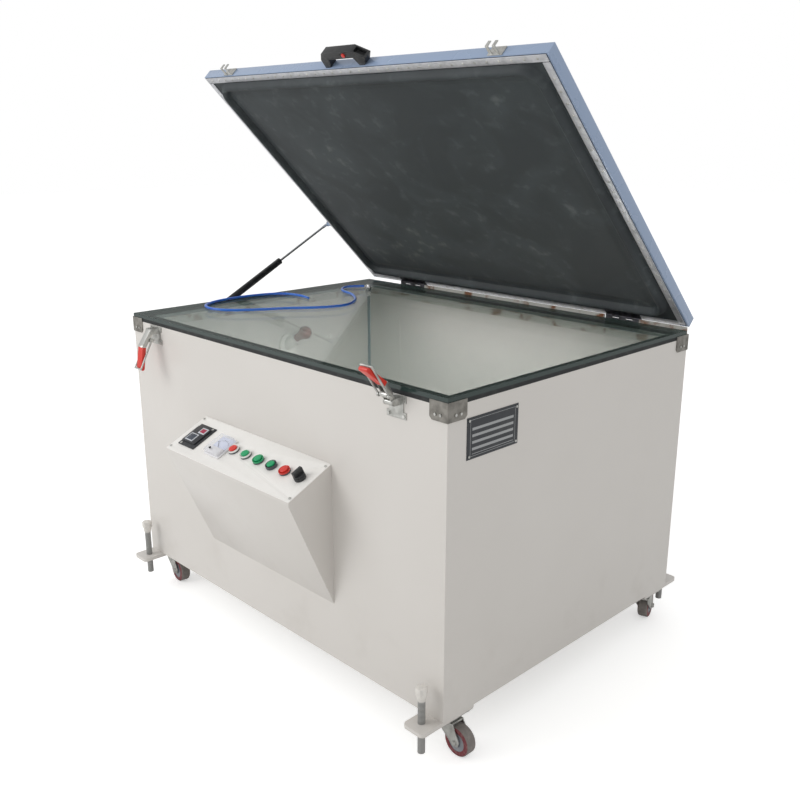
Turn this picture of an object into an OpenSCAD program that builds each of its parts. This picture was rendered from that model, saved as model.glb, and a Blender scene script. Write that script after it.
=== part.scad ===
// Screen printing exposure unit: a rolling sheet steel cabinet with a glass bed, a hinged lid frame
// with a rubber vacuum blanket, two draw latches, a gas strut, a sloped control box, four swivel
// casters and four levelling bolts.
// Millimetres. The origin is on the floor under the cabinet's centre, x right, y back, z up.

/* [Cabinet] */
// Width of the cabinet, left to right
body_w = 1300; // [1280:1:1340]
// Depth of the cabinet, front to back
body_d = 970; // [960:1:990]
// Height of the cabinet's underside above the floor
body_bottom = 110; // [108:1:116]
// Height of the sheet walls' top edge above the floor
wall_top = 865; // [855:1:880]
// Thickness of the cabinet's sheet steel
sheet_t = 2; // [1.5:0.5:2.5]

/* [Glass bed] */
// Thickness of the rubber strips under the glass
gasket_t = 10; // [8:1:12]
// Thickness of the glass
glass_t = 10; // [8:1:12]
// Width of the corner brackets along the front
bracket_w = 51; // [45:1:60]

/* [Lid] */
// Width of the lid frame
lid_w = 1290; // [1270:1:1300]
// Length of the lid frame from its hinge edge to its front face
lid_l = 967; // [950:1:975]
// Outside size of the square tube
tube = 30; // [28:1:32]
// Angle between the open lid and the glass
lid_open = 44.4; // [40:0.1:48]
// Height of the blanket's bead below the lid frame
bead_h = 20; // [16:1:24]

/* [Latches] */
// Distance from the cabinet's centre to the left latch
latch_left_x = 520; // [480:1:540]
// Distance from the cabinet's centre to the right latch
latch_right_x = 499; // [480:1:540]
// Length of a latch lever's red grip, from its bend to its tip
grip_l = 70; // [66:1:72]

/* [Gas strut] */
// Diameter of the strut's pressure tube
strut_d = 22; // [18:1:26]
// Length of the pressure tube from its lower eye
strut_tube_l = 300; // [280:1:320]

/* [Control box] */
// Width of the control box
box_w = 545; // [520:1:560]
// How far the control box stands out from the cabinet
box_out = 132; // [120:1:150]
// Diameter of the push buttons' collars
collar_d = 31; // [28:1:32]

/* [Casters and levelling bolts] */
// Diameter of the caster wheels
wheel_d = 75; // [73:1:76]
// Width of the caster wheels
wheel_w = 32; // [28:1:34]
// Diameter of the levelling bolts
bolt_d = 18; // [16:1:20]

/* [Hidden] */
$fn = 48;
fine_fn = 24;
screw_fn = 16;
through = 40;
fit = 0.05;
gap = 0.3;
eps = 0.01;

half_w = body_w / 2;
half_d = body_d / 2;
floor_top = body_bottom + sheet_t;
glass_z = wall_top + gasket_t;
glass_top = glass_z + glass_t;
cream = [0.85, 0.83, 0.80];
lid_blue = [0.62, 0.70, 0.83];
zinc = [0.70, 0.70, 0.68];
dark = [0.12, 0.12, 0.13];
chrome_grey = [0.80, 0.80, 0.82];
signal_red = [0.75, 0.15, 0.12];
signal_green = [0.15, 0.55, 0.30];

// Frame inside the walls' top edge, and the rail behind the glass
frame_leg = 33;
frame_t = 3;
frame_side = 38;
frame_front = 45;
rail_t = 5;
rail_gap = 0.1;
rail_top = glass_top + 9;
glass_back = half_d - rail_t - gap;
bracket_t = 2.5;
handle_n = 3;
handle_out = 45;
handle_bar = 21;
handle_button_x = 25;

// Lid hinge and the lid's own frame: v runs from the hinge edge to the front, n up
hinge_y = half_d + 3.3;
hinge_z = glass_top + 8;
hinge_v = 9;
hinge_n = -7;
hinge_spans = [[-486, -365], [383, 496]];
barrel_r = 4.6;
hinge_pin_d = 5;
knuckles = 5;
leaf_t = 2;
fixed_leaf_t = 2.5;
fixed_leaf_bottom = wall_top - 15;
lid_leaf_l = 30;
tube_t = 2;
crossbar_v = [307, 630];
drain_d = 8;

// Blanket and its clamp strips
blanket_t = 1.5;
strip_t = 2;
strip_w = 19;
strip_out = 6;
bead_half_w = 610;
bead_v = [45, 943];
bead_r = 62;
bead_w = 24;
field_drop = 6;

// Latches
latch_y = -half_d - 21;
latch_z = glass_top - 34;
latch_plate_t = 2.5;
latch_plate_w = 60;
latch_plate_z = [811, 864];
latch_screw_dx = 24;
latch_screw_z = [818, 857];
lug_in = 12.3;
lug_t = 1.7;
lug_r = 8;
pivot_d = 6;
lever_half_w = 11.9;
lever_bend = 25;
lever_bend_at = 50;
grip_half_w = 13;
grip_front = 6.5;
grip_t = 11;
trunnion_d = 5;
trunnion_y = 8;
trunnion_z = -24;
hook_x = 17;
hook_d = 5;
lever_rest_left = -34;
lever_rest_right = -153;
// The hook's closed end rests on the grip's front, a little short of its tip
hook_at = grip_l - 5;
hook_off = grip_front + hook_d / 2 + 2 * gap;
hook_end_y = hook_at * sin(lever_bend) - hook_off * cos(lever_bend);
hook_end_z = -lever_bend_at - hook_at * cos(lever_bend) - hook_off * sin(lever_bend);
hook_l = norm([hook_end_y - trunnion_y, hook_end_z - trunnion_z]);
hook_rest = atan2(hook_end_y - trunnion_y, trunnion_z - hook_end_z);

// Gas strut: fixed stud on the left wall, and a stud on the lid
strut_x = -half_w - 15;
strut_y = -185;
strut_z = glass_top - 35;
strut_lid_v = 290;
strut_lid_n = 5;
strut_rod_d = 8;
strut_eye_t = 10;
strut_top_y = hinge_y - (strut_lid_v - hinge_v) * cos(lid_open)
  + (strut_lid_n - hinge_n) * sin(lid_open);
strut_top_z = hinge_z + (strut_lid_v - hinge_v) * sin(lid_open)
  + (strut_lid_n - hinge_n) * cos(lid_open);
strut_len = norm([strut_top_y - strut_y, strut_top_z - strut_z]);
strut_angle = atan2(strut_top_z - strut_z, strut_top_y - strut_y);

// Control box: sloped fascia above, slanted underside below
box_x = -2.5;
box_top = 640;
box_drop = 62;
box_lip = 10;
box_foot = 266;
fascia_angle = atan2(box_drop, box_out);
fascia_l = norm([box_out, box_drop]);
fascia_t = 2;
device_w = 71;
button_x = [-46, 8, 63, 118, 172];
selector_x = 232;
all_device_x = [-46, 8, 63, 118, 172, 232];
device_hole_d = 22.4;
collar_top = 12;
cap_d = 22;
button_travel = 4;
stem_d = 10;
timer_c = [-215, 75];
timer_size = [74, 87];
meter_c = [-96, 79];
meter_size = [65, 73];

// Nameplate on the right side
plate_y = [-425, -253];
plate_z = [734, 829];

// Rear panel: access opening, fan slots and cable hole
door_c = [-5, 530];
door_hole = [970, 460];
door_lap = 18;
fan_c = [400, 200];
fan_size = 120;
fan_deep = 38;
fan_bore = 114;
gland_c = [560, 180];
gland_d = 20;

// Foot plates, casters and levelling bolts
foot_t = 10;
foot_x = [583, 648];
foot_y = [377, 551];
foot_r = 12;
caster_x = 615;
caster_y = 425;
caster_plate = [64, 92];
caster_plate_t = 3;
caster_hole = [22, 36];
raceway_d = 45;
raceway_bottom = 83.3;
kingpin_d = 12;
crown_z = [78, 83];
cheek_t = 3;
cheek_gap = 1;
axle_d = 8;
caster_offset = 35;
caster_heading = [-5, 0, 40, 107];
level_x = 613;
level_y = 518;
level_l = 172;
level_bottom = [50, 32, 40, 40];
level_head = 30;

// Vacuum fitting through the glass and the hose that lies on it
fitting_x = -500;
fitting_y = 340;
fitting_d = 16;
outlet_z = glass_top + 6;
outlet_l = 15;
outlet_angle = atan2(-22, -18);
hose_d = 8;
hose_z = glass_top + hose_d / 2 + gap;
hose_start = [
  fitting_x + outlet_l * cos(outlet_angle),
  fitting_y + outlet_l * sin(outlet_angle),
  outlet_z
];
hose_second = [
  fitting_x + (outlet_l + 16) * cos(outlet_angle),
  fitting_y + (outlet_l + 16) * sin(outlet_angle),
  outlet_z
];
hose_route = [
  hose_start, hose_second, [-543, 280, hose_z + 1.2], [-530, 245, hose_z + 0.5],
  [-490, 215, hose_z], [-425, 195, hose_z], [-355, 150, hose_z], [-305, 95, hose_z],
  [-285, 40, hose_z], [-300, -20, hose_z], [-330, -70, hose_z], [-362, -110, hose_z],
  [-388, -155, hose_z], [-414, -200, hose_z], [-445, -245, hose_z], [-487, -280, hose_z],
  [-535, -290, hose_z], [-585, -272, hose_z], [-615, -230, hose_z], [-630, -180, hose_z],
  [-634, -125, hose_z], [-632, -70, hose_z], [-620, -15, hose_z], [-598, 25, hose_z],
  [-560, 48, hose_z], [-512, 52, hose_z], [-465, 42, hose_z]
];
hose_sides = 10;
hose_steps = 3;

// Inside the cabinet
safe_y = 90;
safe_z = 698;
safe_turn = 17;
safe_rise = 32.6;
bulb_far = 89;
bulb_d = 46;
pump_z = floor_top + 70;

// Places a child in the lid's frame, where y is minus v and z is n
module in_lid() {
  translate([0, hinge_y, hinge_z])
    rotate([-lid_open, 0, 0])
      translate([0, hinge_v, -hinge_n])
        children();
}

// Places a child on the fascia plane at x and at a distance down the slope
module on_fascia(x, down) {
  translate([0, -half_d, box_top])
    rotate([fascia_angle, 0, 0])
      translate([x, -down, 0])
        children();
}

// Box between two corners
module span(a, b) {
  translate(a)
    cube(b - a);
}

// Pan head screw, head above z = 0 and shank below
module screw(head_d, head_h, shank_d, shank_l) {
  cylinder(h = head_h, d = head_d, $fn = screw_fn);
  translate([0, 0, -shank_l])
    cylinder(h = shank_l + eps, d = shank_d, $fn = screw_fn);
}

// Places of the corner brackets' screws, z pointing out of the cabinet
module at_bracket_screws() {
  for (sx = [-1, 1]) {
    for (sy = [-1, 1]) {
      for (inset = [18, 34]) {
        translate([sx * (half_w - inset), sy * (half_d + bracket_t), glass_top - 40])
          rotate([-sy * 90, 0, 0])
            children();
        translate([sx * (half_w + bracket_t), sy * (half_d - inset - 4), glass_top - 40])
          rotate([0, sx * 90, 0])
            children();
      }
    }
  }
}

module at_latch_screws() {
  for (x = [-latch_left_x, latch_right_x]) {
    for (dx = [-latch_screw_dx, latch_screw_dx]) {
      for (z = latch_screw_z) {
        translate([x + dx, -half_d - latch_plate_t, z])
          rotate([90, 0, 0])
            children();
      }
    }
  }
}

module at_plate_screws() {
  for (y = [plate_y[0] + 7, plate_y[1] - 7]) {
    for (z = [plate_z[0] + 7, plate_z[1] - 7]) {
      translate([half_w + 1, y, z])
        rotate([0, 90, 0])
          children();
    }
  }
}

module at_door_screws() {
  for (dx = [-490, -163, 163, 490]) {
    for (dz = [-1, 1]) {
      translate([door_c[0] + dx, half_d + sheet_t, door_c[1] + dz * (door_hole[1] / 2 + 9)])
        rotate([-90, 0, 0])
          children();
    }
  }
}

module at_hinge_screws() {
  for (s = hinge_spans) {
    for (t = [0.15, 0.5, 0.85]) {
      translate([s[0] + t * (s[1] - s[0]), half_d + fixed_leaf_t, wall_top - 7])
        rotate([-90, 0, 0])
          children();
    }
  }
}

module at_fascia_screws() {
  for (dx = [-1, 1]) {
    for (down = [12, fascia_l - 12]) {
      on_fascia(box_x + dx * (box_w / 2 - 7), down)
        translate([0, 0, fascia_t])
          children();
    }
  }
}

module at_caster_screws() {
  for (sx = [-1, 1]) {
    for (sy = [-1, 1]) {
      for (dx = [-caster_hole[0], caster_hole[0]]) {
        for (dy = [-caster_hole[1], caster_hole[1]]) {
          translate([
            sx * caster_x + dx, sy * caster_y + dy,
            body_bottom - foot_t - caster_plate_t
          ])
            rotate([180, 0, 0])
              children();
        }
      }
    }
  }
}

// Front and side panels, one folded sheet, with the strut's fixed stud welded on
module body_panels() {
  color(cream)
  union() {
    difference() {
      span([-half_w, -half_d, body_bottom], [half_w, half_d, wall_top]);
      span(
        [-half_w + sheet_t, -half_d + sheet_t, body_bottom - 1],
        [half_w - sheet_t, half_d + 1, wall_top + 1]
      );
      at_bracket_screws()
        cylinder(h = through, d = 5, center = true, $fn = screw_fn);
      at_latch_screws()
        cylinder(h = through, d = 4.2, center = true, $fn = screw_fn);
      at_plate_screws()
        cylinder(h = through, d = 3.2, center = true, $fn = screw_fn);
    }
    translate([-half_w + eps, strut_y, strut_z])
      rotate([0, -90, 0]) {
        cylinder(h = 15 - strut_eye_t / 2 - gap, d = 16, $fn = fine_fn);
        cylinder(h = 15 + strut_eye_t / 2 + 4, d = 8);
        translate([0, 0, 15 + strut_eye_t / 2 + gap])
          cylinder(h = 3, d = 14, $fn = 6);
      }
  }
}

// Back sheet with the access opening, the fan's slots and the cable hole
module rear_panel() {
  color(cream)
  difference() {
    span(
      [-half_w + sheet_t, half_d - sheet_t, floor_top],
      [half_w - sheet_t, half_d, wall_top]
    );
    translate([door_c[0], half_d, door_c[1]])
      cube([door_hole[0], through, door_hole[1]], center = true);
    for (i = [-4:4]) {
      translate([fan_c[0] + i * 12, half_d, fan_c[1]])
        cube([6, through, 92], center = true);
    }
    for (i = [0:7]) {
      translate([-420 + i * 40, half_d, 250])
        cube([6, through, 60], center = true);
    }
    translate([gland_c[0], half_d, gland_c[1]])
      rotate([90, 0, 0])
        cylinder(h = through, d = gland_d + 2 * fit, center = true);
    at_bracket_screws()
      cylinder(h = through, d = 5, center = true, $fn = screw_fn);
    at_hinge_screws()
      cylinder(h = through, d = 4.2, center = true, $fn = screw_fn);
    at_door_screws()
      cylinder(h = through, d = 4.2, center = true, $fn = screw_fn);
  }
}

module foot_plate() {
  union() {
    span([foot_x[0], foot_y[0], 0], [foot_x[1], foot_y[1] - foot_r, foot_t]);
    span([foot_x[0] + foot_r, foot_y[1] - foot_r - 1, 0], [foot_x[1] - foot_r, foot_y[1], foot_t]);
    for (x = [foot_x[0] + foot_r, foot_x[1] - foot_r]) {
      translate([x, foot_y[1] - foot_r, 0])
        cylinder(h = foot_t, r = foot_r);
    }
  }
}

// Floor sheet of the cabinet with the four foot plates welded under it
module base_pan() {
  color(cream)
  difference() {
    union() {
      span(
        [-half_w + sheet_t, -half_d + sheet_t, body_bottom - eps],
        [half_w - sheet_t, half_d - sheet_t, floor_top]
      );
      translate([0, 0, body_bottom - foot_t])
        for (sx = [0, 1]) {
          for (sy = [0, 1]) {
            mirror([sx, 0, 0])
              mirror([0, sy, 0])
                foot_plate();
          }
        }
    }
    for (sx = [-1, 1]) {
      for (sy = [-1, 1]) {
        translate([sx * level_x, sy * level_y, 0])
          cylinder(h = 2 * body_bottom, d = bolt_d + 2 * fit);
      }
    }
    at_caster_screws()
      cylinder(h = 2 * foot_t + 10, d = 8.4, center = true, $fn = screw_fn);
  }
}

// Angle frame that carries the glass, with the rail behind the glass
module top_frame() {
  color(zinc)
  difference() {
    union() {
      difference() {
        span(
          [-half_w + sheet_t, -half_d + sheet_t, wall_top - frame_leg],
          [half_w - sheet_t, half_d - sheet_t, wall_top]
        );
        span(
          [-half_w + sheet_t + frame_t, -half_d + sheet_t + frame_t, wall_top - frame_leg - 1],
          [half_w - sheet_t - frame_t, half_d - sheet_t - frame_t, wall_top - frame_t]
        );
        span(
          [-half_w + frame_side, -half_d + frame_front, wall_top - frame_leg],
          [half_w - frame_side, half_d - frame_front, wall_top + 1]
        );
      }
      for (x = [[-363, 381], [498, half_w - sheet_t]]) {
        span([x[0], half_d - rail_t, wall_top + rail_gap], [x[1], half_d, rail_top]);
        span(
          [x[0], half_d - rail_t, wall_top - eps],
          [x[1], half_d - sheet_t, wall_top + rail_gap + eps]
        );
      }
    }
    at_bracket_screws()
      cylinder(h = through, d = 5, center = true, $fn = screw_fn);
    at_hinge_screws()
      cylinder(h = through, d = 4.2, center = true, $fn = screw_fn);
    at_latch_screws()
      cylinder(h = through, d = 4.2, center = true, $fn = screw_fn);
  }
}

module access_door() {
  color(cream)
  difference() {
    translate([door_c[0], half_d + sheet_t / 2, door_c[1]])
      cube([door_hole[0] + 2 * door_lap, sheet_t, door_hole[1] + 2 * door_lap], center = true);
    at_door_screws()
      cylinder(h = through, d = 4.2, center = true, $fn = screw_fn);
  }
}

module bed_glass() {
  color([0.55, 0.68, 0.64])
  difference() {
    span([-half_w, -half_d, glass_z], [half_w, glass_back, glass_top]);
    translate([fitting_x, fitting_y, glass_z - 1])
      cylinder(h = glass_t + 2, d = fitting_d + 2 * gap);
  }
}

module glass_gasket() {
  color(dark) {
    span([-half_w, -half_d, wall_top], [half_w, -half_d + frame_front, glass_z]);
    span([-half_w, half_d - frame_front, wall_top], [half_w, glass_back, glass_z]);
    for (x = [-half_w, half_w - frame_side]) {
      span(
        [x, -half_d + frame_front + gap, wall_top],
        [x + frame_side, half_d - frame_front - gap, glass_z]
      );
    }
  }
}

// Bracket of the front right corner, from the wall up to the glass's underside
module corner_bracket() {
  t = bracket_t;
  bottom = glass_top - 54;
  side_l = 58;
  cut = 10;
  difference() {
    union() {
      span([half_w - bracket_w, -half_d - t, bottom], [half_w + t, -half_d, glass_z]);
      span([half_w, -half_d - t, bottom], [half_w + t, -half_d + side_l, glass_z]);
    }
    translate([half_w - bracket_w, -half_d, bottom])
      rotate([0, 45, 0])
        cube([cut, through, cut], center = true);
    translate([half_w, -half_d + side_l, bottom])
      rotate([45, 0, 0])
        cube([through, cut, cut], center = true);
  }
}

module corner_brackets() {
  color(zinc)
  difference() {
    for (sx = [0, 1]) {
      for (sy = [0, 1]) {
        mirror([sx, 0, 0])
          mirror([0, sy, 0])
            corner_bracket();
      }
    }
    at_bracket_screws()
      cylinder(h = through, d = 5, center = true, $fn = screw_fn);
  }
}

module cabinet_screws() {
  color(chrome_grey) {
    at_bracket_screws()
      screw(6.5, 2, 4.8, 10);
    at_latch_screws()
      screw(8, 2.5, 4, 8);
    at_plate_screws()
      screw(6, 2, 3, 6);
    at_door_screws()
      screw(9, 2.5, 4, 8);
    at_hinge_screws()
      screw(8, 2, 4, 10);
    at_fascia_screws()
      screw(7, 2.2, 4, 8);
    at_caster_screws()
      screw(14, 5, 8, foot_t + caster_plate_t - 0.5);
  }
}

// Folded control box, open at its back against the cabinet and under the fascia
module control_box() {
  tan_top = box_drop / box_out;
  front_y = -half_d - box_out;
  front_z = box_top - box_drop;
  lip_z = front_z - box_lip;
  under = (lip_z - box_foot) / box_out;
  top_in = sheet_t * norm([1, tan_top]);
  under_in = sheet_t * norm([1, under]);
  color(cream)
  difference() {
    translate([box_x - box_w / 2, 0, 0])
      rotate([90, 0, 90])
        linear_extrude(box_w)
          polygon([
            [-half_d, box_top], [front_y, front_z], [front_y, lip_z], [-half_d, box_foot]
          ]);
    translate([box_x - box_w / 2 + sheet_t, 0, 0])
      rotate([90, 0, 90])
        linear_extrude(box_w - 2 * sheet_t)
          polygon([
            [-half_d + 5, box_top - top_in + 5 * tan_top],
            [front_y + sheet_t, front_z - top_in + sheet_t * tan_top],
            [front_y + sheet_t, lip_z + under_in - sheet_t * under],
            [-half_d + 5, box_foot + under_in - 5 * under]
          ]);
    on_fascia(box_x, fascia_l / 2)
      cube([box_w - 30, fascia_l - 30, 20], center = true);
    at_fascia_screws()
      cylinder(h = 24, d = 4.2, center = true, $fn = screw_fn);
  }
}

module control_fascia() {
  color([0.80, 0.80, 0.78])
  difference() {
    on_fascia(box_x, fascia_l / 2)
      translate([0, 0, fascia_t / 2])
        cube([box_w, fascia_l, fascia_t], center = true);
    for (x = all_device_x) {
      on_fascia(x, device_w)
        cylinder(h = through, d = device_hole_d, center = true);
    }
    on_fascia(timer_c[0], timer_c[1])
      cube([timer_size[0] - 6, timer_size[1] - 6, through], center = true);
    on_fascia(meter_c[0], meter_c[1])
      cylinder(h = through, d = 56, center = true);
    at_fascia_screws()
      cylinder(h = 24, d = 4.2, center = true, $fn = screw_fn);
  }
}

// Timer: base, raised body, a framed display, a framed key window and the housing behind
module timer_module() {
  base_h = 3;
  body_h = 7.5;
  frame_h = 9;
  window_h = 9.4;
  color([0.16, 0.17, 0.18])
  on_fascia(timer_c[0], timer_c[1])
    translate([0, 0, fascia_t]) {
      translate([-timer_size[0] / 2, -timer_size[1] / 2, 0])
        cube([timer_size[0], timer_size[1], base_h]);
      span([-32, -31, 0], [28, 31, body_h]);
      span([-4, 7, 0], [24, 29, frame_h]);
      span([0, 11, 0], [20, 25, window_h]);
      span([-23, -26, 0], [11, 2, frame_h]);
      span([-20, -23, 0], [8, -1, window_h]);
      translate([0, 0, -26 + eps])
        cube([timer_size[0] - 8, timer_size[1] - 8, 52], center = true);
    }
}

// Moving-iron ammeter: flange, clear cover, scale and the round housing behind
module ammeter() {
  color([0.85, 0.85, 0.83])
  on_fascia(meter_c[0], meter_c[1])
    translate([0, 0, fascia_t]) {
      translate([-meter_size[0] / 2, -meter_size[1] / 2, 0])
        cube([meter_size[0], meter_size[1], 5]);
      difference() {
        translate([-meter_size[0] / 2 + 2, -meter_size[1] / 2 + 2, 5 - eps])
          cube([meter_size[0] - 4, meter_size[1] - 4, 12]);
        translate([0, 12, 17])
          cube([meter_size[0] - 14, meter_size[1] - 36, 10], center = true);
      }
      translate([0, -22, 17 - 2 * eps])
        cylinder(h = 1.2, d = 8, $fn = fine_fn);
      translate([0, 0, -34])
        cylinder(h = 34 + eps, d = 55);
    }
}

module button_collar() {
  cap_floor = collar_top - button_travel - 2.2;
  difference() {
    union() {
      translate([0, 0, fascia_t])
        cylinder(h = collar_top - fascia_t, d = collar_d);
      translate([0, 0, -40])
        cylinder(h = 40 + fascia_t + eps, d = 22);
    }
    translate([0, 0, cap_floor])
      cylinder(h = 20, d = cap_d + 2 * fit);
    translate([0, 0, -32])
      cylinder(h = 40, d = stem_d + 2 * fit);
  }
}

module button_collars() {
  color(zinc)
  for (x = all_device_x) {
    on_fascia(x, device_w)
      button_collar();
  }
}

// Push button: cap with a shallow crown on a stem
module push_button(index, tint) {
  color(tint)
  on_fascia(button_x[index], device_w) {
    translate([0, 0, collar_top - 2])
      cylinder(h = 3, d = cap_d);
    translate([0, 0, collar_top + 1 - eps])
      cylinder(h = 0.8, d1 = cap_d - 1, d2 = cap_d - 4);
    translate([0, 0, -24])
      cylinder(h = 24 + collar_top - 1, d = stem_d);
  }
}

module selector_knob() {
  color(dark)
  on_fascia(selector_x, device_w) {
    translate([0, 0, collar_top + gap])
      cylinder(h = 4, d = collar_d - 1);
    translate([0, 0, collar_top + 10])
      cube([9, collar_d - 2, 13], center = true);
    translate([0, 0, -24])
      cylinder(h = 24 + collar_top + 1, d = stem_d);
  }
}

module nameplate() {
  color([0.20, 0.21, 0.23])
  difference() {
    span([half_w, plate_y[0], plate_z[0]], [half_w + 1, plate_y[1], plate_z[1]]);
    at_plate_screws()
      cylinder(h = through, d = 3.2, center = true, $fn = screw_fn);
  }
}

// Tray reflector on four legs in the middle of the cabinet
module lamp_reflector() {
  tray = [620, 460, 90];
  tray_z = 250;
  color(chrome_grey) {
    difference() {
      span([-tray[0] / 2, -tray[1] / 2, tray_z], [tray[0] / 2, tray[1] / 2, tray_z + tray[2]]);
      span(
        [-tray[0] / 2 + sheet_t, -tray[1] / 2 + sheet_t, tray_z + sheet_t],
        [tray[0] / 2 - sheet_t, tray[1] / 2 - sheet_t, tray_z + tray[2] + 1]
      );
    }
    for (x = [-250, 250]) {
      for (y = [-180, 180]) {
        translate([x, y, floor_top])
          cylinder(h = tray_z - floor_top + eps, d = 16, $fn = fine_fn);
      }
    }
  }
}

// Straight lamp tube between two holders that stand in the reflector
module lamp() {
  base_z = 250 + sheet_t;
  lamp_l = 300;
  color([0.90, 0.90, 0.86]) {
    for (s = [-1, 1]) {
      translate([s * (lamp_l / 2 + 12), 0, base_z + 30])
        cube([24, 40, 60], center = true);
    }
    translate([-lamp_l / 2 - eps, 0, base_z + 38])
      rotate([0, 90, 0])
        cylinder(h = lamp_l + 2 * eps, d = 36);
  }
}

// Ballast coil on its plate with two capacitors
module ballast() {
  color([0.30, 0.31, 0.33]) {
    span([260, 260, floor_top], [520, 420, floor_top + 3]);
    span([275, 275, floor_top + 3 - eps], [400, 405, floor_top + 110]);
    for (y = [305, 375]) {
      translate([460, y, floor_top + 3 - eps])
        cylinder(h = 100, d = 50);
    }
  }
}

// Vacuum pump on a foot under the fitting, with its riser hose
module vacuum_pump() {
  riser_top = glass_z - 19;
  color([0.25, 0.33, 0.42]) {
    span([-580, 270, floor_top], [-330, 410, floor_top + 8]);
    span([-560, 300, floor_top + 8 - eps], [-350, 380, pump_z]);
    translate([-570, fitting_y, pump_z])
      rotate([0, 90, 0])
        cylinder(h = 130, d = 110);
    translate([-440 - eps, fitting_y, pump_z])
      rotate([0, 90, 0])
        cylinder(h = 105, d = 90);
    translate([fitting_x, fitting_y, pump_z])
      cylinder(h = riser_top - pump_z, d = 10, $fn = fine_fn);
  }
}

// Square axial fan frame with its motor spider, inside the rear panel
module fan_housing() {
  back = half_d - sheet_t;
  color(dark)
  translate([fan_c[0], back, fan_c[1]])
    rotate([90, 0, 0]) {
      difference() {
        translate([-fan_size / 2, -fan_size / 2, 0])
          cube([fan_size, fan_size, fan_deep]);
        translate([0, 0, -1])
          cylinder(h = fan_deep + 2, d = fan_bore);
      }
      for (a = [45, 135]) {
        rotate([0, 0, a])
          translate([-fan_size / 2 - 1, -3, 0])
            cube([fan_size + 2, 6, 5]);
      }
      cylinder(h = 9, d = 38);
      cylinder(h = 34, d = 5);
    }
}

module fan_rotor() {
  color(dark)
  translate([fan_c[0], half_d - sheet_t, fan_c[1]])
    rotate([90, 0, 0])
      difference() {
        union() {
          translate([0, 0, 11])
            cylinder(h = 20, d = 40);
          for (i = [0:6]) {
            rotate([0, 0, i * 360 / 7])
              translate([36, 0, 21])
                rotate([35, 0, 0])
                  cube([38, 24, 1.6], center = true);
          }
        }
        translate([0, 0, 5])
          cylinder(h = through, d = 5 + 2 * fit);
      }
}

// Aims a child along the safelight's axis from the left wall
module along_safelight() {
  translate([-half_w + sheet_t, safe_y, safe_z])
    rotate([0, 90 - safe_rise, safe_turn])
      children();
}

module safelight_holder() {
  wire_x = -half_w + sheet_t + 1;
  clip_y = 275;
  color([0.90, 0.90, 0.88]) {
    translate([-half_w + sheet_t, safe_y, safe_z])
      rotate([0, 90, 0])
        cylinder(h = 7, d = 75);
    intersection() {
      along_safelight()
        translate([0, 0, -20])
          cylinder(h = 66, d = 42);
      span([-half_w + sheet_t, 0, 600], [-500, 200, 800]);
    }
    translate([wire_x, safe_y + 36, safe_z])
      rotate([-90, 0, 0])
        cylinder(h = clip_y - safe_y - 36, d = 2, $fn = 16);
    span([wire_x - 1, clip_y, safe_z - 6], [wire_x + 4, clip_y + 14, safe_z + 6]);
  }
}

module safelight_bulb() {
  color([0.45, 0.08, 0.07])
  along_safelight() {
    translate([0, 0, 46])
      cylinder(h = 24, d = 27);
    translate([0, 0, bulb_far])
      sphere(d = bulb_d);
  }
}

// Bulkhead elbow clamped through the glass by a nut below
module vacuum_fitting() {
  nut_h = 8;
  stem_l = 18;
  color(chrome_grey)
  translate([fitting_x, fitting_y, 0]) {
    translate([0, 0, glass_top])
      cylinder(h = 4, d = 26);
    translate([0, 0, glass_z - stem_l])
      cylinder(h = stem_l + glass_t + 5, d = fitting_d);
    translate([0, 0, glass_z - nut_h])
      cylinder(h = nut_h, d = 24, $fn = 6);
    translate([0, 0, glass_top + 3])
      cylinder(h = 8, d = 14);
    translate([0, 0, outlet_z])
      rotate([0, 90, outlet_angle])
        cylinder(h = outlet_l, d = 9);
  }
}

function hose_point(i) = hose_route[max(0, min(len(hose_route) - 1, i))];

// Smooth curve through the route's points
function route_at(i, t) =
  let (a = hose_point(i - 1), b = hose_point(i), c = hose_point(i + 1), d = hose_point(i + 2))
  0.5 * (2 * b + (c - a) * t + (2 * a - 5 * b + 4 * c - d) * t * t
    + (3 * b - a - 3 * c + d) * t * t * t);

function hose_line() = concat(
  [hose_route[0]],
  [
    for (i = [0:len(hose_route) - 2])
      for (s = [1:hose_steps])
        route_at(i, s / hose_steps)
  ]
);

// Ring of points around a place on the route, square to its direction
function hose_ring(line, i) =
  let (
    before = line[max(0, i - 1)],
    after = line[min(len(line) - 1, i + 1)],
    along = (after - before) / norm(after - before),
    side = cross([0, 0, 1], along) / norm(cross([0, 0, 1], along)),
    up = cross(along, side)
  )
  [
    for (k = [0:hose_sides - 1])
      line[i] + hose_d / 2 * (cos(k * 360 / hose_sides) * side + sin(k * 360 / hose_sides) * up)
  ];

module vacuum_hose() {
  line = hose_line();
  rings = len(line);
  points = [for (i = [0:rings - 1]) each hose_ring(line, i)];
  walls = [
    for (i = [0:rings - 2])
      for (k = [0:hose_sides - 1])
        let (next = (k + 1) % hose_sides)
        [
          i * hose_sides + k, (i + 1) * hose_sides + k,
          (i + 1) * hose_sides + next, i * hose_sides + next
        ]
  ];
  first_cap = [for (k = [0:hose_sides - 1]) k];
  last_cap = [for (k = [hose_sides - 1:-1:0]) (rings - 1) * hose_sides + k];
  color([0.20, 0.40, 0.75])
  polyhedron(points = points, faces = concat(walls, [first_cap], [last_cap]));
}

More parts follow.
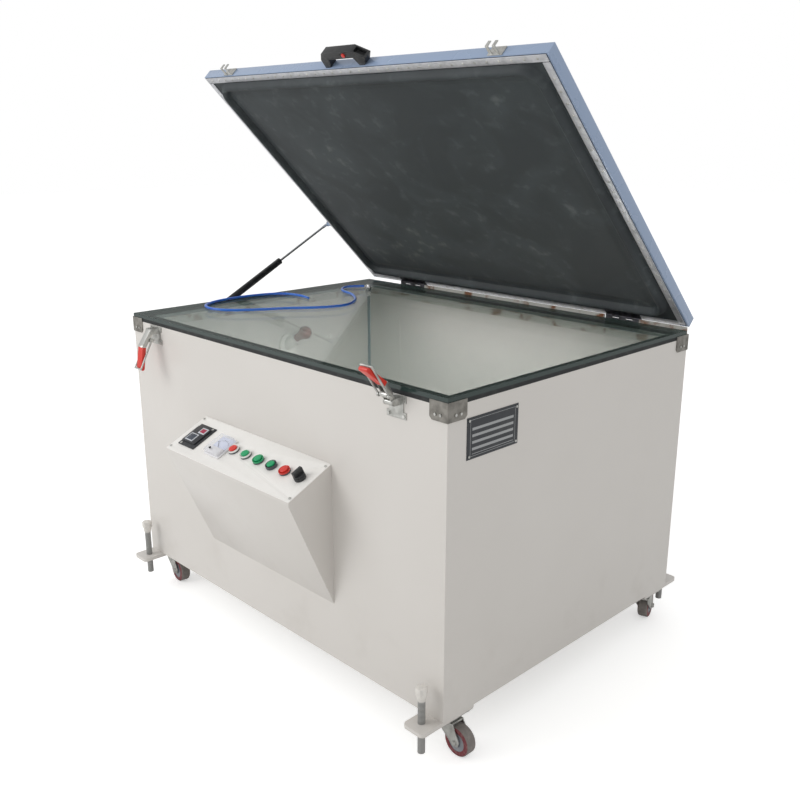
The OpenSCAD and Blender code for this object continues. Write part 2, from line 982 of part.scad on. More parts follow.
// Latch base: plate, two lugs and the lever's pivot pin
module latch_base(x) {
  lug_l = -half_d - latch_plate_t - latch_y;
  difference() {
    union() {
      span(
        [x - latch_plate_w / 2, -half_d - latch_plate_t, latch_plate_z[0]],
        [x + latch_plate_w / 2, -half_d, latch_plate_z[1]]
      );
      for (s = [-lug_in - lug_t, lug_in]) {
        translate([x + s, latch_y, latch_z - lug_r])
          cube([lug_t, lug_l + eps, 2 * lug_r]);
        translate([x + s, latch_y, latch_z])
          rotate([0, 90, 0])
            cylinder(h = lug_t, r = lug_r);
      }
      translate([x - lug_in - eps, latch_y, latch_z])
        rotate([0, 90, 0])
          cylinder(h = 2 * lug_in + 2 * eps, d = pivot_d);
    }
    for (s = [-1, 1]) {
      translate([x + s * latch_plate_w / 2, -half_d, (latch_plate_z[0] + latch_plate_z[1]) / 2])
        cube([16, through, 22], center = true);
    }
  }
}

module latch_bases() {
  color(zinc)
  difference() {
    union() {
      latch_base(-latch_left_x);
      latch_base(latch_right_x);
    }
    at_latch_screws()
      cylinder(h = through, d = 4.2, center = true, $fn = screw_fn);
  }
}

// Lever of a latch: a pressed channel on the pivot, then the red grip, bent back towards the wall
module latch_lever(x, turn) {
  web_t = 2;
  color(zinc)
  translate([x, latch_y, latch_z])
    rotate([turn, 0, 0]) {
      difference() {
        union() {
          rotate([0, 90, 0])
            cylinder(h = 2 * lever_half_w, r = 7.5, center = true);
          span([-lever_half_w, -7.5, -lever_bend_at - 4], [lever_half_w, -7.5 + web_t, 0]);
          for (s = [-lever_half_w, lever_half_w - web_t]) {
            span([s, -7.5, -lever_bend_at - 4], [s + web_t, 5, 0]);
          }
          translate([0, trunnion_y - 4, trunnion_z])
            rotate([0, 90, 0])
              cylinder(h = 2 * lever_half_w, r = 7, center = true);
        }
        rotate([0, 90, 0])
          cylinder(h = through, d = pivot_d + 2 * fit, center = true);
      }
      translate([0, trunnion_y, trunnion_z])
        rotate([0, 90, 0]) {
          cylinder(h = 2 * (hook_x + 3), d = trunnion_d, center = true);
          for (s = [-hook_x - 4.2, hook_x + 2.9]) {
            translate([0, 0, s])
              cylinder(h = 1.3, d = 8, $fn = fine_fn);
          }
        }
      translate([0, 0, -lever_bend_at])
        rotate([lever_bend, 0, 0]) {
          span(
            [-grip_half_w, -grip_front, -grip_l + grip_t / 2],
            [grip_half_w, grip_t - grip_front, 4]
          );
          translate([0, grip_t / 2 - grip_front, -grip_l + grip_t / 2])
            rotate([0, 90, 0])
              cylinder(h = 2 * grip_half_w, d = grip_t, center = true);
        }
    }
}

// Hook of a latch: two eyes on the trunnion, two rods and a closed end across the grip
module latch_hook(x, turn) {
  color(zinc)
  translate([x, latch_y, latch_z])
    rotate([turn, 0, 0])
      translate([0, trunnion_y, trunnion_z])
        rotate([hook_rest, 0, 0]) {
          difference() {
            union() {
              for (s = [-hook_x, hook_x]) {
                translate([s, 0, 0])
                  rotate([0, 90, 0])
                    cylinder(h = hook_d, d = 10, center = true, $fn = fine_fn);
                translate([s, 0, -hook_l])
                  cylinder(h = hook_l, d = hook_d, $fn = fine_fn);
              }
            }
            rotate([0, 90, 0])
              cylinder(h = 60, d = trunnion_d + 2 * fit, center = true);
          }
          for (s = [-hook_x, hook_x]) {
            translate([s, 0, -hook_l])
              sphere(d = hook_d, $fn = fine_fn);
          }
          translate([0, 0, -hook_l])
            rotate([0, 90, 0])
              cylinder(h = 2 * hook_x, d = hook_d, center = true, $fn = fine_fn);
        }
}

// Start and end of one knuckle of a hinge; even ones belong to the fixed leaf
function knuckle(s, k) = [
  s[0] + (s[1] - s[0]) * k / knuckles + gap / 2,
  s[0] + (s[1] - s[0]) * (k + 1) / knuckles - gap / 2
];

module hinge_leaves() {
  color([0.35, 0.35, 0.36])
  for (s = hinge_spans) {
    difference() {
      span(
        [s[0], half_d, fixed_leaf_bottom],
        [s[1], half_d + fixed_leaf_t, hinge_z - barrel_r - 1]
      );
      at_hinge_screws()
        cylinder(h = through, d = 4.2, center = true, $fn = screw_fn);
    }
    for (k = [0:2:knuckles - 1]) {
      a = knuckle(s, k);
      translate([a[0], hinge_y, hinge_z])
        rotate([0, 90, 0])
          cylinder(h = a[1] - a[0], r = barrel_r);
      span(
        [a[0], half_d, hinge_z - barrel_r - 1 - eps],
        [a[1], half_d + fixed_leaf_t, hinge_z]
      );
    }
    translate([s[0] + 1, hinge_y, hinge_z])
      rotate([0, 90, 0])
        cylinder(h = s[1] - s[0] - 2, d = hinge_pin_d, $fn = fine_fn);
  }
}

module lid_hinge_leaves() {
  color([0.35, 0.35, 0.36])
  in_lid()
    for (s = hinge_spans) {
      span([s[0], -lid_leaf_l, -leaf_t], [s[1], 0, 0]);
      for (k = [1:2:knuckles - 1]) {
        a = knuckle(s, k);
        difference() {
          union() {
            translate([a[0], -hinge_v, hinge_n])
              rotate([0, 90, 0])
                cylinder(h = a[1] - a[0], r = barrel_r);
            span([a[0], -hinge_v - 3, hinge_n + 3], [a[1], -hinge_v + 3, -leaf_t + eps]);
          }
          translate([a[0] - 1, -hinge_v, hinge_n])
            rotate([0, 90, 0])
              cylinder(h = a[1] - a[0] + 2, d = hinge_pin_d + 2 * fit, $fn = fine_fn);
        }
      }
    }
}

// Top plate, raceway and kingpin of each caster
module caster_plates() {
  top = body_bottom - foot_t;
  color(zinc)
  difference() {
    for (sx = [-1, 1]) {
      for (sy = [-1, 1]) {
        translate([sx * caster_x, sy * caster_y, 0]) {
          translate([-caster_plate[0] / 2, -caster_plate[1] / 2, top - caster_plate_t])
            cube([caster_plate[0], caster_plate[1], caster_plate_t]);
          translate([0, 0, raceway_bottom])
            cylinder(h = top - caster_plate_t - raceway_bottom + eps, d = raceway_d - 8);
          translate([0, 0, raceway_bottom + 3])
            cylinder(h = 7, d = raceway_d);
          translate([0, 0, crown_z[0] - 4])
            cylinder(h = raceway_bottom - crown_z[0] + 5, d = kingpin_d);
          translate([0, 0, crown_z[0] - 4])
            cylinder(h = 4 - gap, d = kingpin_d + 6);
        }
      }
    }
    at_caster_screws()
      cylinder(h = through, d = 8.4, center = true, $fn = screw_fn);
  }
}

// Places a child at a caster, its trail along the child's x axis
module at_caster(i) {
  sx = [-1, 1, -1, 1][i];
  sy = [-1, -1, 1, 1][i];
  translate([sx * caster_x, sy * caster_y, 0])
    rotate([0, 0, caster_heading[i]])
      children();
}

module caster_fork(i) {
  cheek = wheel_w / 2 + cheek_gap;
  axle_z = wheel_d / 2;
  color(zinc)
  at_caster(i) {
    difference() {
      translate([-20, -cheek - cheek_t, crown_z[0]])
        cube([46, 2 * (cheek + cheek_t), crown_z[1] - crown_z[0]]);
      translate([0, 0, crown_z[0] - 1])
        cylinder(h = through, d = kingpin_d + 2 * fit);
    }
    for (y = [-cheek - cheek_t, cheek]) {
      translate([0, y + cheek_t, 0])
        rotate([90, 0, 0])
          linear_extrude(cheek_t)
            polygon([
              [-20, crown_z[1]], [26, crown_z[1]], [caster_offset + 13, axle_z + 6],
              [caster_offset + 9, axle_z - 9], [caster_offset - 9, axle_z - 9], [-18, 66]
            ]);
    }
    translate([caster_offset, 0, axle_z])
      rotate([90, 0, 0]) {
        cylinder(h = 2 * (cheek + cheek_t) + 12, d = axle_d, center = true);
        for (s = [-1, 1]) {
          translate([0, 0, s * (cheek + cheek_t + 2.5)])
            cylinder(h = 5 + eps, d = 14, center = true, $fn = 6);
        }
      }
  }
}

module caster_wheel(i) {
  shoulder = 3;
  half = wheel_w / 2;
  rim_r = 24;
  hub_r = 12;
  dish = 3;
  color([0.45, 0.20, 0.22])
  at_caster(i)
    translate([caster_offset, 0, wheel_d / 2])
      rotate([90, 0, 0])
        rotate_extrude($fn = 64)
          polygon([
            [axle_d / 2 + fit, -half], [hub_r, -half], [hub_r, -half + dish],
            [rim_r, -half + dish], [rim_r, -half + 1], [wheel_d / 2 - shoulder, -half + 1],
            [wheel_d / 2, -half + 1 + shoulder], [wheel_d / 2, half - 1 - shoulder],
            [wheel_d / 2 - shoulder, half - 1], [rim_r, half - 1], [rim_r, half - dish],
            [hub_r, half - dish], [hub_r, half], [axle_d / 2 + fit, half]
          ]);
}

// Levelling bolt with a tapered neck under its six-sided head, from corner i's bottom end up
module levelling_bolt(i) {
  sx = [-1, 1, -1, 1][i];
  sy = [-1, -1, 1, 1][i];
  head_h = 18;
  neck_h = 17;
  color([0.82, 0.80, 0.77])
  translate([sx * level_x, sy * level_y, level_bottom[i]]) {
    cylinder(h = level_l - 2, d = bolt_d);
    translate([0, 0, level_l - head_h - neck_h])
      cylinder(h = neck_h, d1 = bolt_d + 2, d2 = level_head - 4);
    translate([0, 0, level_l - head_h])
      cylinder(h = head_h, d = level_head, $fn = 6);
  }
}

// Gland on the rear panel for the mains cable
module cable_gland() {
  color(dark)
  translate([gland_c[0], half_d, gland_c[1]])
    rotate([-90, 0, 0])
      difference() {
        union() {
          cylinder(h = 6, d = 28, $fn = 6);
          translate([0, 0, 6 - eps])
            cylinder(h = 14, d = 24);
          translate([0, 0, -14])
            cylinder(h = 15, d = gland_d);
          translate([0, 0, -sheet_t - 6])
            cylinder(h = 6, d = 28, $fn = 6);
        }
        translate([0, 0, -20])
          cylinder(h = 60, d = 10);
      }
}

// Places a child's long box as one tube of the lid frame, then hollows it
module lid_tubes(inset) {
  half = lid_w / 2;
  for (s = [-half, half - tube]) {
    span([s + inset, -lid_l + inset, inset], [s + tube - inset, -inset, tube - inset]);
  }
  for (v = [0, lid_l - tube]) {
    span([-half + inset, -v - tube + inset, inset], [half - inset, -v - inset, tube - inset]);
  }
  for (v = crossbar_v) {
    span([-half + inset, -v - tube + inset, inset], [half - inset, -v - inset, tube - inset]);
  }
}

// Welded tube frame with two crossbars, drain holes below and the strut's stud
module lid_frame() {
  color(lid_blue)
  in_lid() {
    difference() {
      lid_tubes(0);
      lid_tubes(tube_t);
      for (v = [crossbar_v[0] + tube / 2, crossbar_v[1] + tube / 2]) {
        for (x = [-400, 400]) {
          translate([x, -v, -1])
            cylinder(h = tube_t + 2, d = drain_d, $fn = fine_fn);
        }
      }
    }
    translate([-lid_w / 2 + eps, -strut_lid_v, strut_lid_n + 3])
      rotate([0, -90, 0])
        cylinder(h = 15, d = 6, $fn = fine_fn);
    translate([-lid_w / 2 + eps, -strut_lid_v, strut_lid_n])
      rotate([0, -90, 0])
        cylinder(h = half_w + 10 - lid_w / 2 + gap, d = 14);
  }
}

// Rounded rectangle in the lid's plane, from its outline's half width and its two ends
module rounded_field(half, v, r) {
  translate([-half + r, -v[1]])
    square([2 * (half - r), v[1] - v[0]]);
  translate([-half, -v[1] + r])
    square([2 * half, v[1] - v[0] - 2 * r]);
  for (x = [-half + r, half - r]) {
    for (y = [-v[0] - r, -v[1] + r]) {
      translate([x, y])
        circle(r = r);
    }
  }
}

module blanket_layer(inset, depth) {
  translate([0, 0, -depth])
    linear_extrude(depth)
      rounded_field(bead_half_w - inset, [bead_v[0] + inset, bead_v[1] - inset], bead_r - inset);
}

// Rubber blanket: sheet clamped under the frame, a bead around it and a raised field inside
module vacuum_blanket() {
  half = lid_w / 2 - strip_out;
  color(dark)
  in_lid() {
    difference() {
      span([-half, -lid_l + 2, -blanket_t], [half, -6, 0]);
      for (s = hinge_spans) {
        span([s[0] - 2, -lid_leaf_l - 2, -5], [s[1] + 2, 1, 1]);
      }
    }
    difference() {
      union() {
        blanket_layer(0, bead_h - 4);
        blanket_layer(4, bead_h);
      }
      translate([0, 0, -bead_h - 1])
        linear_extrude(bead_h + 1 - blanket_t)
          rounded_field(
            bead_half_w - bead_w, [bead_v[0] + bead_w, bead_v[1] - bead_w], bead_r - bead_w
          );
    }
    blanket_layer(bead_w + 16, field_drop);
  }
}

// Aluminium strips that clamp the blanket to the frame
module clamp_strips() {
  half = lid_w / 2 - strip_out;
  front_v = lid_l - 2 - strip_w;
  rear_v = 5;
  ends = [
    [-half + strip_w + 1, hinge_spans[0][0] - 3],
    [hinge_spans[0][1] + 3, hinge_spans[1][0] - 3],
    [hinge_spans[1][1] + 3, half - strip_w - 1]
  ];
  color(chrome_grey)
  in_lid()
    translate([0, 0, -blanket_t - strip_t]) {
      for (x = [-half, half - strip_w]) {
        span([x, -front_v + 2, 0], [x + strip_w, -12, strip_t]);
      }
      span([-half, -front_v - strip_w, 0], [half, -front_v, strip_t]);
      for (e = ends) {
        span([e[0], -rear_v - strip_w, 0], [e[1], -rear_v, strip_t]);
      }
    }
}

// Keeper plates on the lid's front face, each with two upturned ears
module lid_keepers() {
  plate_half = 21;
  plate_n = [2, 28];
  ear_out = 26;
  ear_w = 8;
  ear_n = [3, 20];
  t = 2.5;
  color(zinc)
  in_lid()
    for (x = [-latch_left_x, latch_right_x]) {
      span([x - plate_half, -lid_l - t, plate_n[0]], [x + plate_half, -lid_l, plate_n[1]]);
      for (s = [-14, 14 - ear_w]) {
        span(
          [x + s, -lid_l - ear_out, ear_n[0]], [x + s + ear_w, -lid_l - t + eps, ear_n[0] + t]
        );
        span(
          [x + s, -lid_l - ear_out, ear_n[0]], [x + s + ear_w, -lid_l - ear_out + t, ear_n[1]]
        );
      }
    }
}

// Bridge handle on the lid's front face, hollow at its slanted right end
module lid_handle() {
  n1 = 28;
  color(dark)
  in_lid()
    difference() {
      translate([0, -lid_l, handle_n])
        mirror([0, 1, 0])
          linear_extrude(n1 - handle_n)
            polygon([
              [-72, 0], [-70, 26], [-54, handle_out], [58, handle_out], [97, 21], [78, 0],
              [60, 0], [52, handle_out - handle_bar], [-40, handle_out - handle_bar], [-52, 0]
            ]);
      translate([77.5, -lid_l - 33, (handle_n + n1) / 2])
        rotate([0, 0, atan2(24, 39)])
          cube([32, 24, 17], center = true);
      translate([handle_button_x, -lid_l - handle_out + handle_bar / 2, handle_n - 1])
        cylinder(h = 9, d = 11 + 2 * fit, $fn = fine_fn);
    }
}

module handle_button() {
  color(signal_red)
  in_lid()
    translate([handle_button_x, -lid_l - handle_out + handle_bar / 2, handle_n - 3])
      cylinder(h = 7, d = 11, $fn = fine_fn);
}

// Aims a child along the gas strut from its lower pivot
module along_strut() {
  translate([strut_x, strut_y, strut_z])
    rotate([strut_angle - 90, 0, 0])
      children();
}

module strut_cylinder() {
  color(dark)
  along_strut()
    difference() {
      union() {
        rotate([0, 90, 0])
          cylinder(h = strut_eye_t, d = 20, center = true);
        translate([0, 0, 9])
          cylinder(h = 22, d = 12, $fn = fine_fn);
        translate([0, 0, 30])
          cylinder(h = strut_tube_l - 30, d = strut_d);
      }
      rotate([0, 90, 0])
        cylinder(h = through, d = 8 + 2 * fit, center = true);
      translate([0, 0, 45])
        cylinder(h = strut_tube_l - 53, d = strut_d - 4);
      translate([0, 0, 50])
        cylinder(h = strut_tube_l, d = strut_rod_d + 2 * fit);
    }
}

module strut_rod() {
  piston_z = strut_tube_l - 40;
  color(chrome_grey)
  along_strut() {
    translate([0, 0, piston_z])
      cylinder(h = strut_len - 6 - piston_z, d = strut_rod_d);
    translate([0, 0, piston_z])
      cylinder(h = 8, d = strut_d - 4 - 2 * fit);
    translate([0, 0, strut_len - 24])
      cylinder(h = 16, d = 10, $fn = fine_fn);
    translate([0.4, 0, strut_len])
      rotate([0, 90, 0])
        cylinder(h = 4, d = 18);
  }
}

body_panels();
rear_panel();
base_pan();
top_frame();
access_door();
bed_glass();
glass_gasket();
corner_brackets();
cabinet_screws();
control_box();
control_fascia();
timer_module();
ammeter();
button_collars();
nameplate();
lamp();
lamp_reflector();
ballast();
vacuum_pump();
fan_housing();
safelight_holder();
safelight_bulb();
vacuum_fitting();
vacuum_hose();
latch_bases();
hinge_leaves();
caster_plates();
cable_gland();
lid_frame();
vacuum_blanket();
clamp_strips();
lid_keepers();
lid_handle();
lid_hinge_leaves();
handle_button();
strut_cylinder();
strut_rod();
latch_lever(-latch_left_x, lever_rest_left);  // latch_lever_left
latch_lever(latch_right_x, lever_rest_right);  // latch_lever_right
latch_hook(-latch_left_x, lever_rest_left);  // latch_hook_left
latch_hook(latch_right_x, lever_rest_right);  // latch_hook_right
caster_fork(0);  // caster_fork_fl
caster_fork(1);  // caster_fork_fr
caster_fork(2);  // caster_fork_bl
caster_fork(3);  // caster_fork_br
caster_wheel(0);  // caster_wheel_fl
caster_wheel(1);  // caster_wheel_fr
caster_wheel(2);  // caster_wheel_bl
caster_wheel(3);  // caster_wheel_br
push_button(0, signal_red);  // button_red_ringed
push_button(1, signal_green);  // button_green_ringed
push_button(2, signal_green);  // button_green
push_button(3, signal_green);  // button_green_dark_ring
push_button(4, signal_red);  // button_red
selector_knob();
fan_rotor();
levelling_bolt(0);  // levelling_bolt_fl
levelling_bolt(1);  // levelling_bolt_fr
levelling_bolt(2);  // levelling_bolt_bl
levelling_bolt(3);  // levelling_bolt_br
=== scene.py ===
import math

import bpy
from mathutils import Matrix, Vector, noise


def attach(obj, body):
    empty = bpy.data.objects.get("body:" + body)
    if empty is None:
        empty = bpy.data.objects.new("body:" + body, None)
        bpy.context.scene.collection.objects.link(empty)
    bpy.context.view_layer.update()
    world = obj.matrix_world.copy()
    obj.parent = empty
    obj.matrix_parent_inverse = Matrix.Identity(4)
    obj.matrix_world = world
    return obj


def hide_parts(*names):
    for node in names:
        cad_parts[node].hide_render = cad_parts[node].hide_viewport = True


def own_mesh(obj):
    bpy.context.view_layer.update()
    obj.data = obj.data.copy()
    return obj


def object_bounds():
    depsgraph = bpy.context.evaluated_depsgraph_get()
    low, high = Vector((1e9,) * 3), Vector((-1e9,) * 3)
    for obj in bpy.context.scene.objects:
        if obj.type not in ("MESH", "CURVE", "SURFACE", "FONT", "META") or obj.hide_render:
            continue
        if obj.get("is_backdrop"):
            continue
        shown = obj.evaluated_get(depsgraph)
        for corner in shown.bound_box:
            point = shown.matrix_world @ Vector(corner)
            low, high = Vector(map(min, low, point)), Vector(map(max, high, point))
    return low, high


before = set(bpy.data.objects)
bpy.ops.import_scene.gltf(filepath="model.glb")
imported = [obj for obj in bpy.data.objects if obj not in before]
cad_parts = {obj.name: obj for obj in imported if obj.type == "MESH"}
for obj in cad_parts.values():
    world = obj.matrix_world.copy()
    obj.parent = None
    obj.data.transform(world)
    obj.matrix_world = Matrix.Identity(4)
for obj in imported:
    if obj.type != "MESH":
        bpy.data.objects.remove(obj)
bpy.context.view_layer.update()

# The camera stands at the photograph's place, to the front right and a little above the glass.
CAMERA_PLACE = (1.8804, -1.8167, 1.4110)
CAMERA_AZIMUTH = math.radians(45.855)
CAMERA_ELEVATION = math.radians(16.281)
bpy.ops.object.camera_add(
    location=CAMERA_PLACE,
    rotation=(math.pi / 2 - CAMERA_ELEVATION, 0, CAMERA_AZIMUTH),
)
camera = bpy.context.object
camera.data.lens = 41.32
camera.data.sensor_width = 36
bpy.context.scene.camera = camera
bpy.context.scene.view_settings.view_transform = "Standard"

# The vacuum hose is a blue polyurethane tube, 8 mm thick. It is pushed on the elbow in the
# glass, lies on the glass in one loop and ends open.
MM = 0.001
GLASS_TOP = 0.885
HOSE_D = 8 * MM
HOSE_Z = GLASS_TOP + 4.3 * MM
FITTING = Vector((-0.500, 0.340, 0))
OUTLET_ANGLE = math.atan2(-22, -18)
OUTLET_DIRECTION = Vector((math.cos(OUTLET_ANGLE), math.sin(OUTLET_ANGLE), 0))
OUTLET_Z = GLASS_TOP + 6 * MM


def srgb(value):
    """A colour written as #rrggbb, as the linear colour that a shader takes."""
    parts = [int(value[i:i + 2], 16) / 255 for i in (1, 3, 5)]
    return [c / 12.92 if c <= 0.04045 else ((c + 0.055) / 1.055) ** 2.4 for c in parts] + [1]


def add(tree, kind, inputs=None, **settings):
    """Adds a node with its settings; an input given as a socket is linked."""
    made = tree.nodes.new(kind)
    for name, value in settings.items():
        setattr(made, name, value)
    for key, value in (inputs or {}).items():
        if isinstance(value, bpy.types.NodeSocket):
            tree.links.new(value, made.inputs[key])
        else:
            made.inputs[key].default_value = value
    return made


def new_material(name, colour, roughness, metallic=0.0):
    """A material with its shader, ready for the nodes of its own finish."""
    made = bpy.data.materials.new(name)
    made.use_nodes = True
    tree = made.node_tree
    shader = tree.nodes["Principled BSDF"]
    shader.inputs["Base Color"].default_value = srgb(colour)
    shader.inputs["Roughness"].default_value = roughness
    shader.inputs["Metallic"].default_value = metallic
    return made, tree, shader


def blend_colours(tree, factor, first, second):
    """The colour socket of a mix of two colours or colour sockets."""
    mixed = add(tree, "ShaderNodeMix", {0: factor, 6: first, 7: second}, data_type="RGBA")
    return mixed.outputs[2]


def stretch_noise(tree, low, high, inputs):
    """Noise on Object coordinates, spread so that low becomes 0 and high becomes 1."""
    coords = add(tree, "ShaderNodeTexCoord").outputs["Object"]
    settings = dict(inputs)
    settings.setdefault("Vector", coords)
    field = add(tree, "ShaderNodeTexNoise", settings)
    spread = add(
        tree, "ShaderNodeMapRange",
        {"Value": field.outputs["Fac"], "From Min": low, "From Max": high},
    )
    return spread.outputs[0]


def give_grain(tree, shader, size_mm, depth_mm, strength=1.0):
    """Fine unevenness of the surface, of one grain size."""
    coords = add(tree, "ShaderNodeTexCoord").outputs["Object"]
    field = add(
        tree, "ShaderNodeTexNoise",
        {"Vector": coords, "Scale": 1 / (size_mm * MM), "Detail": 3.0},
    )
    bump = add(
        tree, "ShaderNodeBump",
        {"Height": field.outputs["Fac"], "Distance": depth_mm * MM, "Strength": strength},
    )
    tree.links.new(bump.outputs[0], shader.inputs["Normal"])


def moulded_plastic(name, colour, roughness, grain_mm=1.2, fade="#8a8a86"):
    """Injection moulded plastic: fine eroded grain, faintly dusty in patches."""
    made, tree, shader = new_material(name, colour, roughness)
    dust = stretch_noise(tree, 0.5, 0.75, {"Scale": 1 / 0.03, "Detail": 6.0})
    amount = add(tree, "ShaderNodeMath", {0: dust, 1: 0.10}, operation="MULTIPLY").outputs[0]
    tree.links.new(blend_colours(tree, amount, srgb(colour), srgb(fade)),
                   shader.inputs["Base Color"])
    give_grain(tree, shader, grain_mm, 0.03)
    return made


def finish_piece(piece, name, body, material=None):
    """Names a finished piece and puts it on its body and its material."""
    piece.name = name
    piece.data.name = name
    if material:
        piece.data.materials.clear()
        piece.data.materials.append(material)
    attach(piece, body)
    return piece


hose_points = [
    FITTING + OUTLET_DIRECTION * 15 * MM + Vector((0, 0, OUTLET_Z)),
    FITTING + OUTLET_DIRECTION * 31 * MM + Vector((0, 0, OUTLET_Z)),
]
for x, y, lift in [
    (-543, 280, 1.2), (-530, 245, 0.5), (-490, 215, 0), (-425, 195, 0), (-355, 150, 0),
    (-305, 95, 0), (-285, 40, 0), (-300, -20, 0), (-330, -70, 0), (-362, -110, 0),
    (-388, -155, 0), (-414, -200, 0), (-445, -245, 0), (-487, -280, 0), (-535, -290, 0),
    (-585, -272, 0), (-615, -230, 0), (-630, -180, 0), (-634, -125, 0), (-632, -70, 0),
    (-620, -15, 0), (-598, 25, 0), (-560, 48, 0), (-512, 52, 0), (-465, 42, 0),
]:
    hose_points.append(Vector((x * MM, y * MM, HOSE_Z + lift * MM)))


def smooth_through(points, steps):
    """Points of a smooth curve through the given ones."""
    last = len(points) - 1
    made = [points[0].copy()]
    for i in range(last):
        a, b = points[max(0, i - 1)], points[i]
        c, d = points[i + 1], points[min(last, i + 2)]
        for s in range(1, steps + 1):
            t = s / steps
            made.append(0.5 * (2 * b + (c - a) * t + (2 * a - 5 * b + 4 * c - d) * t * t
                               + (3 * b - a - 3 * c + d) * t ** 3))
    return made


hose_line = smooth_through(hose_points, 4)
hose_curve = bpy.data.curves.new("vacuum_tube", "CURVE")
hose_curve.dimensions = "3D"
hose_curve.bevel_depth = HOSE_D / 2
hose_curve.bevel_resolution = 5
hose_curve.use_fill_caps = True
hose_spline = hose_curve.splines.new("POLY")
hose_spline.points.add(len(hose_line) - 1)
for point, place in zip(hose_spline.points, hose_line):
    point.co = (*place, 1)
hose_spline.use_smooth = True
hose = bpy.data.objects.new("vacuum_tube", hose_curve)
bpy.context.collection.objects.link(hose)
hose_material = moulded_plastic("blue polyurethane tube", "#2a6fd6", 0.28, 2.0, "#7fb0ee")
hose_material.node_tree.nodes["Principled BSDF"].inputs["Subsurface Weight"].default_value = 0.15
finish_piece(hose, "vacuum_tube", "cabinet", hose_material)
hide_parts("vacuum_hose")

# The studio: a white floor, a white surround, two large soft lights, and a weak one that shows
# the cabinet's inside through the glass. Floor and surround look whiter than they shine.
bpy.ops.mesh.primitive_plane_add(size=40, location=(0, 0, 0))
floor = bpy.context.object
floor.name = "studio_floor"
floor_material, floor_tree, floor_shader = new_material("matte studio floor", "#f6f6f5", 0.85)
floor_shader.inputs["Emission Color"].default_value = (1, 1, 1, 1)
floor_seen = add(floor_tree, "ShaderNodeLightPath").outputs["Is Camera Ray"]
floor_glow = add(floor_tree, "ShaderNodeMapRange", {"Value": floor_seen, "To Max": 0.45})
floor_tree.links.new(floor_glow.outputs[0], floor_shader.inputs["Emission Strength"])
floor.data.materials.append(floor_material)
floor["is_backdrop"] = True
world = bpy.data.worlds.new("studio")
bpy.context.scene.world = world
world.use_nodes = True
world.node_tree.nodes["Background"].inputs["Color"].default_value = (1, 1, 1, 1)
world_seen = add(world.node_tree, "ShaderNodeLightPath").outputs["Is Camera Ray"]
world_power = add(
    world.node_tree, "ShaderNodeMapRange", {"Value": world_seen, "To Min": 0.7, "To Max": 1.0},
)
world.node_tree.links.new(
    world_power.outputs[0], world.node_tree.nodes["Background"].inputs["Strength"],
)
for place, size, power in [
    ((-2.6, -4.2, 3.0), 3.0, 95),
    ((4.2, -1.6, 3.0), 3.0, 8),
]:
    bpy.ops.object.light_add(type="AREA", location=place)
    lamp = bpy.context.object
    lamp.data.size = size
    lamp.data.energy = power
    lamp.rotation_euler = (Vector((0, 0, 0.7)) - lamp.location).to_track_quat("-Z", "Y").to_euler()
bpy.ops.object.light_add(type="AREA", location=(0, 0, 0.86))
lamp = bpy.context.object
lamp.data.size = 0.8
lamp.data.energy = 9

# The cabinet is folded and welded sheet steel with a sprayed cream enamel. The enamel has a
# soft orange peel, is a little grey where hands and wheels throw dirt, and is worn at the feet.


def enamel(name, colour, grime, roughness, low_dirt):
    """Sprayed enamel on steel: broad tone drift, orange peel and grime near the floor."""
    made, tree, shader = new_material(name, colour, roughness)
    drift = stretch_noise(tree, 0.35, 0.65, {"Scale": 1 / 0.45, "Detail": 2.0})
    smudge = stretch_noise(tree, 0.52, 0.78, {"Scale": 1 / 0.09, "Detail": 8.0})
    coords = add(tree, "ShaderNodeTexCoord").outputs["Object"]
    height = add(tree, "ShaderNodeSeparateXYZ", {0: coords}).outputs[2]
    near_floor = add(
        tree, "ShaderNodeMapRange",
        {"Value": height, "From Min": 0.34, "From Max": 0.10, "To Max": low_dirt},
    ).outputs[0]
    amount = add(tree, "ShaderNodeMath", {0: drift, 1: 0.07}, operation="MULTIPLY").outputs[0]
    amount = add(
        tree, "ShaderNodeMath", {0: smudge, 1: near_floor, 2: amount}, operation="MULTIPLY_ADD",
    ).outputs[0]
    tree.links.new(blend_colours(tree, amount, srgb(colour), srgb(grime)),
                   shader.inputs["Base Color"])
    rough = add(
        tree, "ShaderNodeMapRange",
        {"Value": smudge, "To Min": roughness - 0.04, "To Max": roughness + 0.14},
    ).outputs[0]
    tree.links.new(rough, shader.inputs["Roughness"])
    shader.inputs["Coat Weight"].default_value = 0.15
    shader.inputs["Coat Roughness"].default_value = 0.2
    give_grain(tree, shader, 7.0, 0.05, 0.5)
    return made


cream_enamel = enamel("cream enamel on sheet steel", "#d6d2cd", "#9a9184", 0.38, 0.14)


def paint_nodes(material, *names):
    """Gives CAD nodes their finish."""
    for name in names:
        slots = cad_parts[name].data.materials
        slots.clear()
        slots.append(material)


paint_nodes(cream_enamel, "body_panels", "rear_panel", "access_door", "base_pan")


def deselect_all():
    if bpy.context.object and bpy.context.object.mode != "OBJECT":
        bpy.ops.object.mode_set(mode="OBJECT")
    bpy.ops.object.select_all(action="DESELECT")


def make_active(piece):
    deselect_all()
    piece.select_set(True)
    bpy.context.view_layer.objects.active = piece


def soften_edges(piece, width, segments=2, angle=32):
    """Rounds a piece's sharp edges and shades it smooth between them."""
    make_active(piece)
    bevel = piece.modifiers.new("edges", "BEVEL")
    bevel.width = width
    bevel.segments = segments
    bevel.limit_method = "ANGLE"
    bevel.angle_limit = math.radians(angle)
    bevel.use_clamp_overlap = True
    bpy.ops.object.modifier_apply(modifier=bevel.name)
    bpy.ops.object.shade_smooth_by_angle(angle=math.radians(angle))


